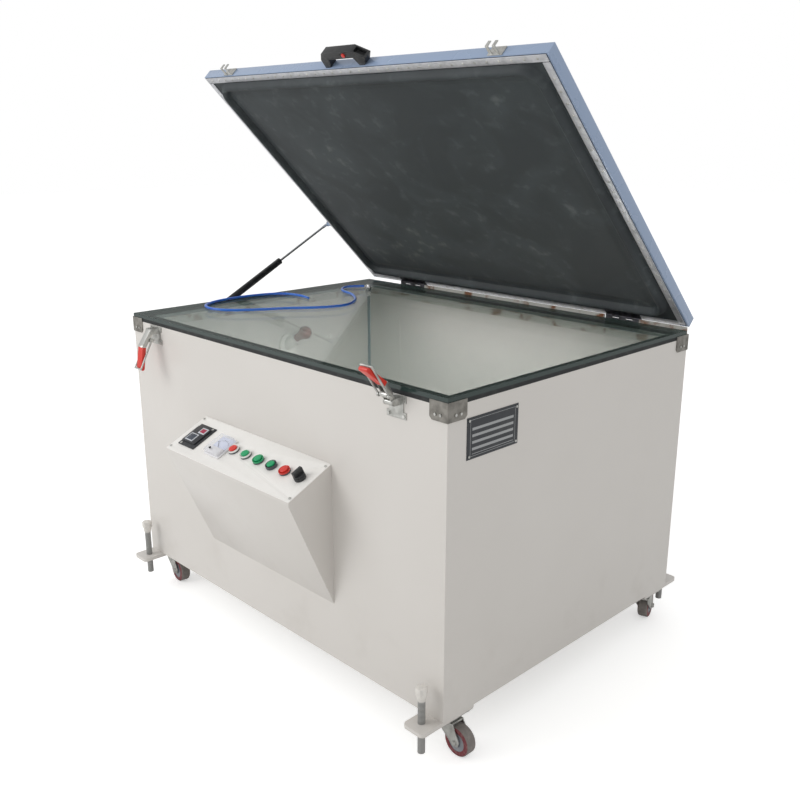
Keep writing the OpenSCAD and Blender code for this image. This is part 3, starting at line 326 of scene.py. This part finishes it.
def softened_node(node, name, body, material, width, segments=2):
    """A copy of a CAD node with its edges rounded, which stands for that node."""
    piece = bpy.data.objects.new(name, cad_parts[node].data.copy())
    bpy.context.collection.objects.link(piece)
    make_active(piece)
    bpy.ops.object.mode_set(mode="EDIT")
    bpy.ops.mesh.select_all(action="SELECT")
    bpy.ops.mesh.remove_doubles(threshold=0.02 * MM)
    bpy.ops.mesh.dissolve_limited(angle_limit=math.radians(0.6))
    bpy.ops.object.mode_set(mode="OBJECT")
    soften_edges(piece, width, segments)
    finish_piece(piece, name, body, material)
    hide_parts(node)
    return piece


# The control box is folded from the same sheet, with rounded folds, and sprayed with the cabinet.
softened_node("control_box", "control_box_shell", "cabinet", cream_enamel,
              1.2 * MM, 3)

# The glass bed is float glass with ground edges, on black rubber strips. It is clear with a
# green body colour, and its edges look dark and green.
glass_material, glass_tree, glass_shader = new_material("float glass", "#8fa39b", 0.02)
glass_shader.inputs["IOR"].default_value = 1.5
glass_view = add(glass_tree, "ShaderNodeFresnel", {"IOR": 1.5}).outputs[0]
glass_normal = add(glass_tree, "ShaderNodeNewGeometry").outputs["Normal"]
glass_up = add(glass_tree, "ShaderNodeSeparateXYZ", {0: glass_normal}).outputs[2]
glass_up = add(glass_tree, "ShaderNodeMath", {0: glass_up}, operation="ABSOLUTE").outputs[0]
glass_edge = add(
    glass_tree, "ShaderNodeMath", {0: glass_up, 1: 0.5}, operation="LESS_THAN",
).outputs[0]
glass_body = add(
    glass_tree, "ShaderNodeMath", {0: glass_view, 1: 0.6, 2: 0.03}, operation="MULTIPLY_ADD",
).outputs[0]
glass_alpha = add(
    glass_tree, "ShaderNodeMath", {0: glass_body, 1: glass_edge}, operation="MAXIMUM",
).outputs[0]
glass_tree.links.new(glass_alpha, glass_shader.inputs["Alpha"])
glass_tree.links.new(
    blend_colours(glass_tree, glass_edge, srgb("#8fa39b"), srgb("#2c3b38")),
    glass_shader.inputs["Base Color"],
)
paint_nodes(glass_material, "bed_glass")
gasket_rubber = moulded_plastic("black strip rubber", "#1c1f20", 0.7, 2.5)
paint_nodes(gasket_rubber, "glass_gasket")

# The frame under the glass and the rail behind it are welded from pale primed angle, rusty
# where the primer has worn through.
rail_steel, rail_tree, rail_shader = new_material("primed mild steel", "#b9b8b2", 0.5, 0.3)
rust_patch = stretch_noise(rail_tree, 0.52, 0.62, {"Scale": 1 / 0.06, "Detail": 9.0})
rail_tree.links.new(
    blend_colours(rail_tree, rust_patch, srgb("#bdbcb6"), srgb("#7d5236")),
    rail_shader.inputs["Base Color"],
)
give_grain(rail_tree, rail_shader, 3.0, 0.1)
paint_nodes(rail_steel, "top_frame")

# Zinc plated steel: corner brackets, latches, keepers, casters and screws. The plating is
# dull and slightly blotched, and fine brushing shows on the flat faces.


def plated_steel(name, bright, dull, roughness, brush_mm=1.0):
    made, tree, shader = new_material(name, bright, roughness, 0.85)
    blotch = stretch_noise(tree, 0.4, 0.7, {"Scale": 1 / 0.018, "Detail": 7.0})
    tree.links.new(blend_colours(tree, blotch, srgb(bright), srgb(dull)),
                   shader.inputs["Base Color"])
    rough = add(
        tree, "ShaderNodeMapRange",
        {"Value": blotch, "To Min": roughness, "To Max": roughness + 0.2},
    ).outputs[0]
    tree.links.new(rough, shader.inputs["Roughness"])
    give_grain(tree, shader, brush_mm, 0.02)
    return made


bracket_steel = plated_steel("brushed nickel plate", "#928f89", "#787570", 0.38)
zinc_plate = plated_steel("zinc plated steel", "#c4c4c0", "#a3a39f", 0.34)
screw_steel = plated_steel("bright zinc screw", "#d4d4d0", "#9b9b97", 0.28)
dark_steel = plated_steel("darkened zinc hinge", "#55555a", "#303033", 0.42)
softened_node("corner_brackets", "corner_bracket_plates", "cabinet",
              bracket_steel, 0.6 * MM)
softened_node("cabinet_screws", "cabinet_screw_heads", "cabinet", screw_steel,
              0.5 * MM)
paint_nodes(dark_steel, "hinge_leaves", "lid_hinge_leaves")

# The fascia is a white printed panel on the sloped top of the control box, held by a screw in
# each corner. Its devices stand in one row.
HALF_D = 0.485
FASCIA_TOP = 0.640
FASCIA_ANGLE = math.atan2(62, 132)
FASCIA_T = 2 * MM
white_panel = moulded_plastic("white lacquered panel", "#f1efeb", 0.35, 3.0, "#d8d5cf")
softened_node("control_fascia", "control_fascia_panel", "cabinet",
              white_panel, 0.4 * MM)


def fascia_place(x_mm, down_mm, up_mm=0.0):
    """The matrix of a place on the fascia's face, z square to it."""
    slope = Matrix.Translation((0, -HALF_D, FASCIA_TOP)) @ Matrix.Rotation(FASCIA_ANGLE, 4, "X")
    return slope @ Matrix.Translation((x_mm * MM, -down_mm * MM, FASCIA_T + up_mm * MM))


def settle(piece, place):
    """Moves a piece's place into its mesh."""
    piece.matrix_world = place @ piece.matrix_world
    make_active(piece)
    bpy.ops.object.transform_apply(location=True, rotation=True, scale=True)


def block(size, centre, place, edge, segments=2):
    """A box with rounded edges, from its size and centre in mm at a place."""
    deselect_all()
    bpy.ops.mesh.primitive_cube_add(size=1)
    made = bpy.context.object
    made.scale = [s * MM for s in size]
    made.location = [c * MM for c in centre]
    bpy.ops.object.transform_apply(location=True, rotation=True, scale=True)
    soften_edges(made, edge * MM, segments)
    settle(made, place)
    return made


def disc(radius, bottom, top, place, edge, sides=40, segments=2):
    """A round piece with rounded rims, from its radius and its ends in mm at a place."""
    deselect_all()
    bpy.ops.mesh.primitive_cylinder_add(
        vertices=sides, radius=radius * MM, depth=(top - bottom) * MM,
        location=(0, 0, (top + bottom) / 2 * MM),
    )
    made = bpy.context.object
    bpy.ops.object.transform_apply(location=True, rotation=True, scale=True)
    soften_edges(made, edge * MM, segments)
    settle(made, place)
    return made


def open_ring(outer, inner, bottom, top, floor_at, place, edge, sides=48):
    """A collar with a round recess: the top is inset and pushed down to the recess's floor."""
    deselect_all()
    bpy.ops.mesh.primitive_cylinder_add(
        vertices=sides, radius=outer * MM, depth=(top - bottom) * MM,
        location=(0, 0, (top + bottom) / 2 * MM),
    )
    made = bpy.context.object
    bpy.ops.object.transform_apply(location=True, rotation=True, scale=True)
    bpy.ops.object.mode_set(mode="EDIT")
    bpy.ops.mesh.select_mode(type="FACE")
    bpy.ops.mesh.select_all(action="DESELECT")
    bpy.ops.object.mode_set(mode="OBJECT")
    for face in made.data.polygons:
        face.select = face.normal.z > 0.9
    bpy.ops.object.mode_set(mode="EDIT")
    bpy.ops.mesh.inset(thickness=(outer - inner) * MM)
    bpy.ops.transform.translate(value=(0, 0, (floor_at - top) * MM))
    bpy.ops.object.mode_set(mode="OBJECT")
    soften_edges(made, edge * MM, 2)
    settle(made, place)
    return made


# The timer is a black moulded module: a notched base with a screw at each end, a raised body,
# a red lit display and a grey key window, both in pale frames.
timer_place = fascia_place(-215, 75)
timer_black = moulded_plastic("black timer moulding", "#25272b", 0.4)
pale_frame = moulded_plastic("pale grey frame moulding", "#c9ccd2", 0.4)
grey_window = moulded_plastic("smoked window plastic", "#3c4450", 0.12)
red_display, red_tree, red_shader = new_material("red lit display", "#7a1f38", 0.12)
red_shader.inputs["Emission Color"].default_value = srgb("#b02a48")
red_shader.inputs["Emission Strength"].default_value = 0.35
give_grain(red_tree, red_shader, 2.0, 0.02)
timer_pieces = [
    ("timer_base", (74, 87, 3), (0, 0, 1.5), timer_black, 0.8),
    ("timer_body", (60, 62, 6), (-2, 0, 4.5), timer_black, 1.0),
    ("timer_display_frame", (28, 22, 2), (10, 18, 8), pale_frame, 0.6),
    ("timer_display", (20, 14, 1.6), (10, 18, 8.6), red_display, 0.3),
    ("timer_key_frame", (34, 28, 2), (-6, -12, 8), pale_frame, 0.6),
    ("timer_key_window", (28, 22, 1.6), (-6, -12, 8.6), grey_window, 0.5),
]
for name, size, centre, material, edge in timer_pieces:
    made = block(size, centre, timer_place, edge)
    finish_piece(made, name, "cabinet", material)
    if name == "timer_base":
        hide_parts("timer_module")
for x, y in [(-26, -38), (26, 38)]:
    made = disc(4, 3, 4.4, timer_place @ Matrix.Translation((x * MM, y * MM, 0)), 0.5, 20)
    finish_piece(made, "timer_screw_%d" % (x > 0), "cabinet", screw_steel)

# The ammeter has a white flange, a clear cover, a pale blue scale plate with plain ticks, a
# needle and a black zero screw.
meter_place = fascia_place(-96, 79)
meter_white = moulded_plastic("white meter moulding", "#e9e8ea", 0.3)
scale_blue = moulded_plastic("pale blue scale card", "#dfe4f5", 0.5)
needle_black = moulded_plastic("black lacquered needle", "#222222", 0.4)
cover_clear, cover_tree, cover_shader = new_material("clear acrylic cover", "#eef1f7", 0.05)
cover_view = add(cover_tree, "ShaderNodeFresnel", {"IOR": 1.49}).outputs[0]
cover_alpha = add(
    cover_tree, "ShaderNodeMath", {0: cover_view, 1: 0.35, 2: 0.10}, operation="MULTIPLY_ADD",
).outputs[0]
cover_tree.links.new(cover_alpha, cover_shader.inputs["Alpha"])
for name, size, centre, material, edge in [
    ("meter_flange", (65, 73, 5), (0, 0, 2.5), meter_white, 1.2),
    ("meter_card", (57, 38, 1), (0, 13, 5.5), scale_blue, 0.2),
    ("meter_skirt", (57, 24, 7), (0, -21, 8.5), meter_white, 1.0),
    ("meter_cover", (60, 68, 12), (0, 0, 11), cover_clear, 2.0),
]:
    made = block(size, centre, meter_place, edge)
    finish_piece(made, name, "cabinet", material)
for i in range(11):
    turn = Matrix.Rotation(math.radians(50 - i * 10), 4, "Z")
    tick = block((0.8, 4, 0.3), (0, 30, 6.1),
                 meter_place @ Matrix.Translation((0, -8 * MM, 0)) @ turn, 0.05, 1)
    finish_piece(tick, "meter_tick_%d" % i, "cabinet", needle_black)
needle = block((0.9, 30, 0.5), (0, 15, 7),
               meter_place @ Matrix.Translation((0, -8 * MM, 0)) @ Matrix.Rotation(0.8, 4, "Z"),
               0.1, 1)
finish_piece(needle, "meter_needle", "cabinet", needle_black)
zero_screw = disc(3.5, 15, 18, meter_place @ Matrix.Translation((-12 * MM, -22 * MM, 0)), 0.6, 24)
finish_piece(zero_screw, "meter_zero_screw", "cabinet", needle_black)
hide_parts("ammeter")

# Five push buttons and a selector sit in the row, each in its own collar on a dark grey base. The
# dark grey base ring under each push button's collar is partly painted shade: it also stands in for
# the shade on the collars' lower sides.
# The caps are glossy coloured plastic with a softly rounded rim.
chrome_ring = plated_steel("chromed bezel", "#dcdcdc", "#b4b4b4", 0.14)
button_red = moulded_plastic("red push button plastic", "#d8372f", 0.25, 2.0, "#e0675c")
button_green = moulded_plastic("green push button plastic", "#15a066", 0.25, 2.0, "#4fb98a")
ring_white = moulded_plastic("white collar plastic", "#efefec", 0.3)
ring_dark = moulded_plastic("dark grey collar plastic", "#4b5054", 0.35)
knob_black = moulded_plastic("black knob moulding", "#26282a", 0.4)
DEVICE_DOWN = 71
for node, x, ring_material, cap_material in [
    ("button_red_ringed", -46, ring_white, button_red),
    ("button_green_ringed", 8, ring_white, button_green),
    ("button_green", 63, button_green, button_green),
    ("button_green_dark_ring", 118, ring_dark, button_green),
    ("button_red", 172, button_red, button_red),
]:
    place = fascia_place(x, DEVICE_DOWN)
    # The dark grey base ring is partly painted shade: it also stands in for the shade on the lower
    # side of the collar.
    base = disc(15.4, 0, 4, place, 0.6, 48)
    finish_piece(base, node + "_base", "cabinet", ring_dark)
    ring = open_ring(15.2, 11.2, 3.8, 9.8, 4.2, place, 0.8)
    finish_piece(ring, node + "_collar", "cabinet", ring_material)
    cap = disc(10.9, 6.2, 11.4, place, 1.6, 48, 4)
    finish_piece(cap, node + "_cap", node, cap_material)
    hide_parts(node)
selector_ring = open_ring(15.4, 12.1, 0, 9.8, 2, fascia_place(232, DEVICE_DOWN), 0.8)
finish_piece(selector_ring, "selector_collar", "cabinet", knob_black)
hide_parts("button_collars")
softened_node("selector_knob", "selector_handle", "selector_knob", knob_black,
              1.2 * MM, 3)

# The nameplate is a dark anodised plate, left without words: four wide pale bands and a thin
# line under a dark top row, in a thin frame.
PLATE_BAND = (138, 6)
PLATE_ROWS = (20, 5, -10, -25)
plate_dark = moulded_plastic("dark anodised plate", "#2b2e33", 0.35)
plate_pale = moulded_plastic("pale etched metal", "#a0a2a3", 0.4)
paint_nodes(plate_dark, "nameplate")
PLATE_Y = (-425, -253)
PLATE_Z = (734, 829)
plate_face = Matrix.Translation((0.651, 0, 0))
plate_mid_y = sum(PLATE_Y) / 2
plate_mid_z = sum(PLATE_Z) / 2
bars = [(150, 0.8, 0, z) for z in (-41, 41)] + [(0.8, 82, y, 0) for y in (-75, 75)]
bars += [(*PLATE_BAND, 0, z) for z in PLATE_ROWS] + [(PLATE_BAND[0], 1.2, 0, -36)]
for i, (wide, high, y, z) in enumerate(bars):
    bar = block((0.3, wide, high), (0.1, plate_mid_y + y, plate_mid_z + z), plate_face, 0.05, 1)
    finish_piece(bar, "nameplate_bar_%d" % i, "cabinet", plate_pale)

# The lid is a frame of square steel tube, mitred, welded, ground and sprayed light blue.
# It opens on two butt hinges along the cabinet's back edge.
LID_OPEN = math.radians(44.4)
HINGE = Vector((0, 0.4883, 0.893))
lid_place = (Matrix.Translation(HINGE) @ Matrix.Rotation(-LID_OPEN, 4, "X")
             @ Matrix.Translation((0, 9 * MM, 7 * MM)))
lid_blue = enamel("blue enamel on steel tube", "#93a5c0", "#6f7f9f", 0.3, 0.0)
softened_node("lid_frame", "lid_tube_frame", "lid", lid_blue, 2.2 * MM, 3)

# Aluminium strips clamp the blanket's edge to the frame with a row of small round screws.
strip_metal = plated_steel("mill finish aluminium", "#cfd0d4", "#bfc0c4", 0.42)
softened_node("clamp_strips", "blanket_clamp_strips", "lid", strip_metal,
              0.4 * MM)
STRIP_FACE = -3.5
SCREW_PITCH = 35
screw_spots = []
for k in range(26):
    for x in (-629.5, 629.5):
        screw_spots.append((x, 24 + k * SCREW_PITCH))
for k in range(36):
    screw_spots.append((-612 + k * SCREW_PITCH, 955.5))
    rear_x = -612 + k * SCREW_PITCH
    if not (-495 < rear_x < -355 or 374 < rear_x < 505):
        screw_spots.append((rear_x, 14.5))
deselect_all()
bpy.ops.mesh.primitive_uv_sphere_add(segments=10, ring_count=6, radius=3.4 * MM)
screw_head = bpy.context.object
screw_head.scale = (1, 1, 0.5)
bpy.ops.object.transform_apply(scale=True)
screw_heads = []
for x, v in screw_spots:
    head = screw_head.copy()
    head.data = screw_head.data.copy()
    bpy.context.collection.objects.link(head)
    head.location = (x * MM, -v * MM, (STRIP_FACE + 0.2) * MM)
    screw_heads.append(head)
bpy.data.objects.remove(screw_head)
deselect_all()
for head in screw_heads:
    head.select_set(True)
bpy.context.view_layer.objects.active = screw_heads[0]
bpy.ops.object.transform_apply(location=True)
bpy.ops.object.join()
strip_screws = bpy.context.object
bpy.ops.object.shade_smooth()
settle(strip_screws, lid_place)
finish_piece(strip_screws, "strip_screws", "lid", screw_steel)

# The vacuum blanket is one moulded sheet of black rubber with a tall hollow bead around its
# edge. It sags a little in the middle, and years of powder have left it grey and smeared.
BLANKET_HALF = 639
BLANKET_V = (6, 965)
BEAD_HALF = 610
BEAD_V = (45, 943)
BEAD_R = 62
BEAD_W = 26
BEAD_H = 18.5
SHEET_T = 1.5
EDGE_BAND = 110
FINE_STEP = 3.5
COARSE_STEP = 18


def sheet_lines(low, high):
    """Grid lines from low to high, close together along both edges."""
    fine = [i * FINE_STEP for i in range(int(EDGE_BAND / FINE_STEP))]
    inside = high - low - 2 * EDGE_BAND
    count = round(inside / COARSE_STEP)
    middle = [EDGE_BAND + inside * i / count for i in range(count + 1)]
    return ([low + f for f in fine] + [low + m for m in middle] + [high - f for f in fine[::-1]])


def smooth_step(value, low, high):
    t = min(1.0, max(0.0, (value - low) / (high - low)))
    return t * t * (3 - 2 * t)


def blanket_depth(x, v):
    """How far the blanket hangs below the frame's underside, in mm."""
    middle_v = sum(BEAD_V) / 2
    half_v = (BEAD_V[1] - BEAD_V[0]) / 2
    qx = abs(x) - (BEAD_HALF - BEAD_R)
    qv = abs(v - middle_v) - (half_v - BEAD_R)
    outside = math.hypot(max(qx, 0), max(qv, 0)) + min(max(qx, qv), 0) - BEAD_R
    inset = -outside
    if inset <= 0:
        return SHEET_T
    ridge = math.sin(math.pi * min(1.0, inset / BEAD_W)) ** 0.7 if inset < BEAD_W else 0.0
    field = smooth_step(inset, 14, 60)
    sag = 4.0 * smooth_step(inset, 30, 300)
    ripple = 1.3 * noise.noise(Vector((x / 210, v / 160, 3.0))) * field
    lip = 2.2 * math.exp(-((inset - 46) / 9) ** 2)
    return min(20.0, SHEET_T + BEAD_H * ridge + 2.5 * field + sag + ripple - lip * 0.6)


lines_x = sheet_lines(-BLANKET_HALF, BLANKET_HALF)
lines_v = sheet_lines(*BLANKET_V)
cells_x = len(lines_x) - 1
cells_v = len(lines_v) - 1
deselect_all()
bpy.ops.mesh.primitive_grid_add(x_subdivisions=cells_x, y_subdivisions=cells_v, size=2)
blanket = bpy.context.object
for vertex in blanket.data.vertices:
    column = round((vertex.co.x + 1) / 2 * cells_x)
    row = round((1 - vertex.co.y) / 2 * cells_v)
    x = lines_x[column]
    v = lines_v[row]
    vertex.co = (x * MM, -v * MM, -blanket_depth(x, v) * MM)
bpy.ops.object.mode_set(mode="EDIT")
bpy.ops.mesh.select_mode(type="FACE")
bpy.ops.mesh.select_all(action="DESELECT")
bpy.ops.object.mode_set(mode="OBJECT")
for face in blanket.data.polygons:
    middle = face.center / MM
    near_hinge = -489 < middle.x < -362 or 380 < middle.x < 499
    face.select = near_hinge and -middle.y < 33
bpy.ops.object.mode_set(mode="EDIT")
bpy.ops.mesh.delete(type="FACE")
bpy.ops.object.mode_set(mode="OBJECT")
solid = blanket.modifiers.new("sheet", "SOLIDIFY")
solid.thickness = (SHEET_T - 0.1) * MM
solid.offset = 1
bpy.ops.object.modifier_apply(modifier="sheet")
bpy.ops.object.shade_smooth_by_angle(angle=math.radians(50))
settle(blanket, lid_place)
rubber, rubber_tree, rubber_shader = new_material("chalky moulded rubber", "#353c40", 0.62)
cloud = stretch_noise(
    rubber_tree, 0.42, 0.70, {"Scale": 1 / 0.22, "Detail": 7.0, "Distortion": 1.2},
)
powder = stretch_noise(rubber_tree, 0.55, 0.80, {"Scale": 1 / 0.035, "Detail": 10.0})
smear = add(
    rubber_tree, "ShaderNodeMath", {0: cloud, 1: powder}, operation="MULTIPLY",
).outputs[0]
tone = blend_colours(rubber_tree, cloud, srgb("#2a3033"), srgb("#363d40"))
tone = blend_colours(rubber_tree, smear, tone, srgb("#5c6463"))
rubber_tree.links.new(tone, rubber_shader.inputs["Base Color"])
give_grain(rubber_tree, rubber_shader, 4.0, 0.15)
finish_piece(blanket, "rubber_blanket", "lid", rubber)
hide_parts("vacuum_blanket")
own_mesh(blanket)

# Keepers on the lid's front face, pressed from plated strip.
softened_node("lid_keepers", "lid_keeper_plates", "lid", zinc_plate, 0.4 * MM)

# The handle is a black moulded bridge with a red release button under its bar.
handle_plastic = moulded_plastic("black glass filled nylon", "#232426", 0.42, 1.4)
softened_node("lid_handle", "lid_bridge_handle", "lid", handle_plastic,
              2.5 * MM, 3)
softened_node("handle_button", "handle_release", "handle_button", button_red,
              0.8 * MM, 3)

# The gas strut has a black enamelled pressure tube and a ground chromed rod.
strut_black = moulded_plastic("black tube enamel", "#1b1c1e", 0.3)
softened_node("strut_cylinder", "strut_pressure_tube", "strut_cylinder",
              strut_black, 1.0 * MM, 3)
rod_chrome = plated_steel("hard chromed rod", "#d9dadc", "#b3b4b6", 0.16)
softened_node("strut_rod", "strut_piston_rod", "strut_rod", rod_chrome,
              0.5 * MM)

# The draw latches are pressed zinc plated steel. A red dipped sleeve covers each lever's end,
# from the bend on. The left lever hangs down and the right one is thrown up.
softened_node("latch_bases", "latch_base_plates", "cabinet", zinc_plate, 0.5 * MM)
LATCH_PIVOT = Vector((0, -0.506, 0.851))
LEVER_BEND = 25
LEVER_BEND_AT = 50 * MM
SLEEVE_START = 2 * MM


def down_the_lever(turn):
    """The direction in which a lever's arm points away from its pivot."""
    return Vector((0, math.sin(math.radians(turn)), -math.cos(math.radians(turn))))


def lever_finish(name, turn):
    """Zinc plate that gives way to the red sleeve beyond the bend."""
    made, tree, shader = new_material(name, "#c4c4c0", 0.3)
    bend = LATCH_PIVOT + down_the_lever(turn) * LEVER_BEND_AT
    along = down_the_lever(turn + LEVER_BEND)
    coords = add(tree, "ShaderNodeTexCoord").outputs["Object"]
    moved = add(tree, "ShaderNodeVectorMath", {0: coords, 1: bend}, operation="SUBTRACT")
    reach = add(
        tree, "ShaderNodeVectorMath", {0: moved.outputs[0], 1: along}, operation="DOT_PRODUCT",
    ).outputs["Value"]
    sleeve = add(
        tree, "ShaderNodeMath", {0: reach, 1: SLEEVE_START}, operation="GREATER_THAN",
    ).outputs[0]
    tree.links.new(blend_colours(tree, sleeve, srgb("#c4c4c0"), srgb("#d63a2e")),
                   shader.inputs["Base Color"])
    metal = add(tree, "ShaderNodeMapRange", {"Value": sleeve, "To Min": 0.85, "To Max": 0.0})
    tree.links.new(metal.outputs[0], shader.inputs["Metallic"])
    give_grain(tree, shader, 1.5, 0.03)
    return made


for side, turn in (("left", -34), ("right", -153)):
    softened_node("latch_lever_" + side, "latch_handle_" + side, "latch_lever_" + side,
                  lever_finish("dipped lever " + side, turn), 1.2 * MM, 3)
    softened_node("latch_hook_" + side, "latch_loop_" + side, "latch_hook_" + side,
                  zinc_plate, 0.4 * MM)

# The casters have plated forks and wheels with a worn grey tread, dark red polyurethane sides
# and a grey hub.
paint_nodes(zinc_plate, "caster_plates")
WHEEL_R = 37.5
CASTER_X = 0.615
CASTER_Y = 0.425
CASTER_TRAIL = 35
HUB_R = 12
RIM_R = 24
TREAD_R = 35.5


def wheel_finish(name, centre, axle):
    """Bands by distance from the axle: hub, dish, coloured side and worn tread."""
    made, tree, shader = new_material(name, "#6d2a31", 0.45)
    coords = add(tree, "ShaderNodeTexCoord").outputs["Object"]
    moved = add(tree, "ShaderNodeVectorMath", {0: coords, 1: centre}, operation="SUBTRACT")
    moved = moved.outputs[0]
    crossed = add(tree, "ShaderNodeVectorMath", {0: moved, 1: axle}, operation="CROSS_PRODUCT")
    radius = add(
        tree, "ShaderNodeVectorMath", {0: crossed.outputs[0]}, operation="LENGTH",
    ).outputs["Value"]
    tone = srgb("#4c5663")
    for edge, colour in ((HUB_R, "#8b8f96"), (RIM_R, "#74272f"), (TREAD_R, "#77716d")):
        past = add(
            tree, "ShaderNodeMath", {0: radius, 1: edge * MM}, operation="GREATER_THAN",
        ).outputs[0]
        tone = blend_colours(tree, past, tone, srgb(colour))
    wear = stretch_noise(tree, 0.45, 0.75, {"Scale": 1 / 0.008, "Detail": 6.0})
    wear = add(tree, "ShaderNodeMath", {0: wear, 1: 0.35}, operation="MULTIPLY").outputs[0]
    tree.links.new(blend_colours(tree, wear, tone, srgb("#a39c94")),
                   shader.inputs["Base Color"])
    give_grain(tree, shader, 2.0, 0.1)
    return made


for corner, sx, sy, heading in (("fl", -1, -1, -5), ("fr", 1, -1, 0), ("bl", -1, 1, 40),
                                ("br", 1, 1, 107)):
    turn = math.radians(heading)
    centre = Vector((sx * CASTER_X + CASTER_TRAIL * MM * math.cos(turn),
                     sy * CASTER_Y + CASTER_TRAIL * MM * math.sin(turn), WHEEL_R * MM))
    axle = Vector((-math.sin(turn), math.cos(turn), 0))
    softened_node("caster_wheel_" + corner, "caster_tyre_" + corner, "caster_wheel_" + corner,
                  wheel_finish("polyurethane wheel " + corner, centre, axle),
                  0.8 * MM)
    softened_node("caster_fork_" + corner, "caster_yoke_" + corner, "caster_fork_" + corner,
                  zinc_plate, 0.6 * MM)

# The levelling bolts are zinc plated steel. Spray from the cabinet covers their heads and necks,
# and the threads below are bare.
SPRAY_REACH = 0.035
SPRAY_EDGE = 0.003
THREAD_PITCH = 2.5 * MM


def bolt_finish(name, top):
    """Overspray from the bolt's top down, and bare thread under it."""
    made, bolt_tree, bolt_shader = new_material(name, "#dedad4", 0.45)
    bolt_coords = add(bolt_tree, "ShaderNodeTexCoord").outputs["Object"]
    bolt_height = add(bolt_tree, "ShaderNodeSeparateXYZ", {0: bolt_coords}).outputs[2]
    bolt_chips = stretch_noise(bolt_tree, 0.50, 0.56, {"Scale": 1 / 0.012, "Detail": 8.0})
    bolt_low = add(
        bolt_tree, "ShaderNodeMapRange",
        {"Value": bolt_height, "From Min": top - SPRAY_REACH + SPRAY_EDGE,
         "From Max": top - SPRAY_REACH - SPRAY_EDGE},
    ).outputs[0]
    bolt_mask = add(
        bolt_tree, "ShaderNodeMath", {0: bolt_chips, 1: 0.12, 2: bolt_low}, operation="MULTIPLY_ADD",
        use_clamp=True,
    ).outputs[0]
    bolt_tree.links.new(
        blend_colours(bolt_tree, bolt_mask, srgb("#dedad4"), srgb("#8f8f8d")),
        bolt_shader.inputs["Base Color"],
    )
    bolt_threads = add(
        bolt_tree, "ShaderNodeTexWave", {"Vector": bolt_coords, "Scale": 1 / THREAD_PITCH / 20},
        bands_direction="Z",
    ).outputs["Fac"]
    bolt_bump = add(
        bolt_tree, "ShaderNodeBump", {"Height": bolt_threads, "Distance": 0.8 * MM},
    ).outputs[0]
    bolt_tree.links.new(bolt_bump, bolt_shader.inputs["Normal"])
    return made


for corner, top in (("fl", 0.222), ("fr", 0.204), ("bl", 0.212), ("br", 0.212)):
    softened_node("levelling_bolt_" + corner, "levelling_foot_" + corner,
                  "levelling_bolt_" + corner,
                  bolt_finish("overspray on steel bolt " + corner, top), 1.0 * MM)

# Inside the cabinet: a lamp in a bright tray, its ballast, the vacuum pump, a fan and a red
# safelight on the left wall. The elbow through the glass is chromed brass.
bright_sheet = plated_steel("polished reflector sheet", "#d6d8d8", "#b9bcbc", 0.3)
paint_nodes(bright_sheet, "lamp_reflector")
paint_nodes(moulded_plastic("white lamp ceramic", "#e8e8e2", 0.3), "lamp", "safelight_holder")
paint_nodes(moulded_plastic("grey equipment enamel", "#46535f", 0.45), "ballast",
            "vacuum_pump")
paint_nodes(moulded_plastic("black glass filled nylon trim", "#202123", 0.5), "fan_housing",
            "fan_rotor", "cable_gland")
bulb_material, bulb_tree, bulb_shader = new_material("dark red bulb lacquer", "#6a1512", 0.18)
bulb_shader.inputs["Coat Weight"].default_value = 0.5
bulb_tone = stretch_noise(bulb_tree, 0.4, 0.7, {"Scale": 1 / 0.02, "Detail": 3.0})
bulb_tree.links.new(blend_colours(bulb_tree, bulb_tone, srgb("#6a1512"), srgb("#8c2a20")),
                    bulb_shader.inputs["Base Color"])
softened_node("safelight_bulb", "safelight_globe", "cabinet", bulb_material,
              0.5 * MM)
softened_node("vacuum_fitting", "vacuum_elbow", "cabinet", chrome_ring,
              0.6 * MM)

# The box around all shown pieces of the finished model, the floor left out.
low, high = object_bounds()
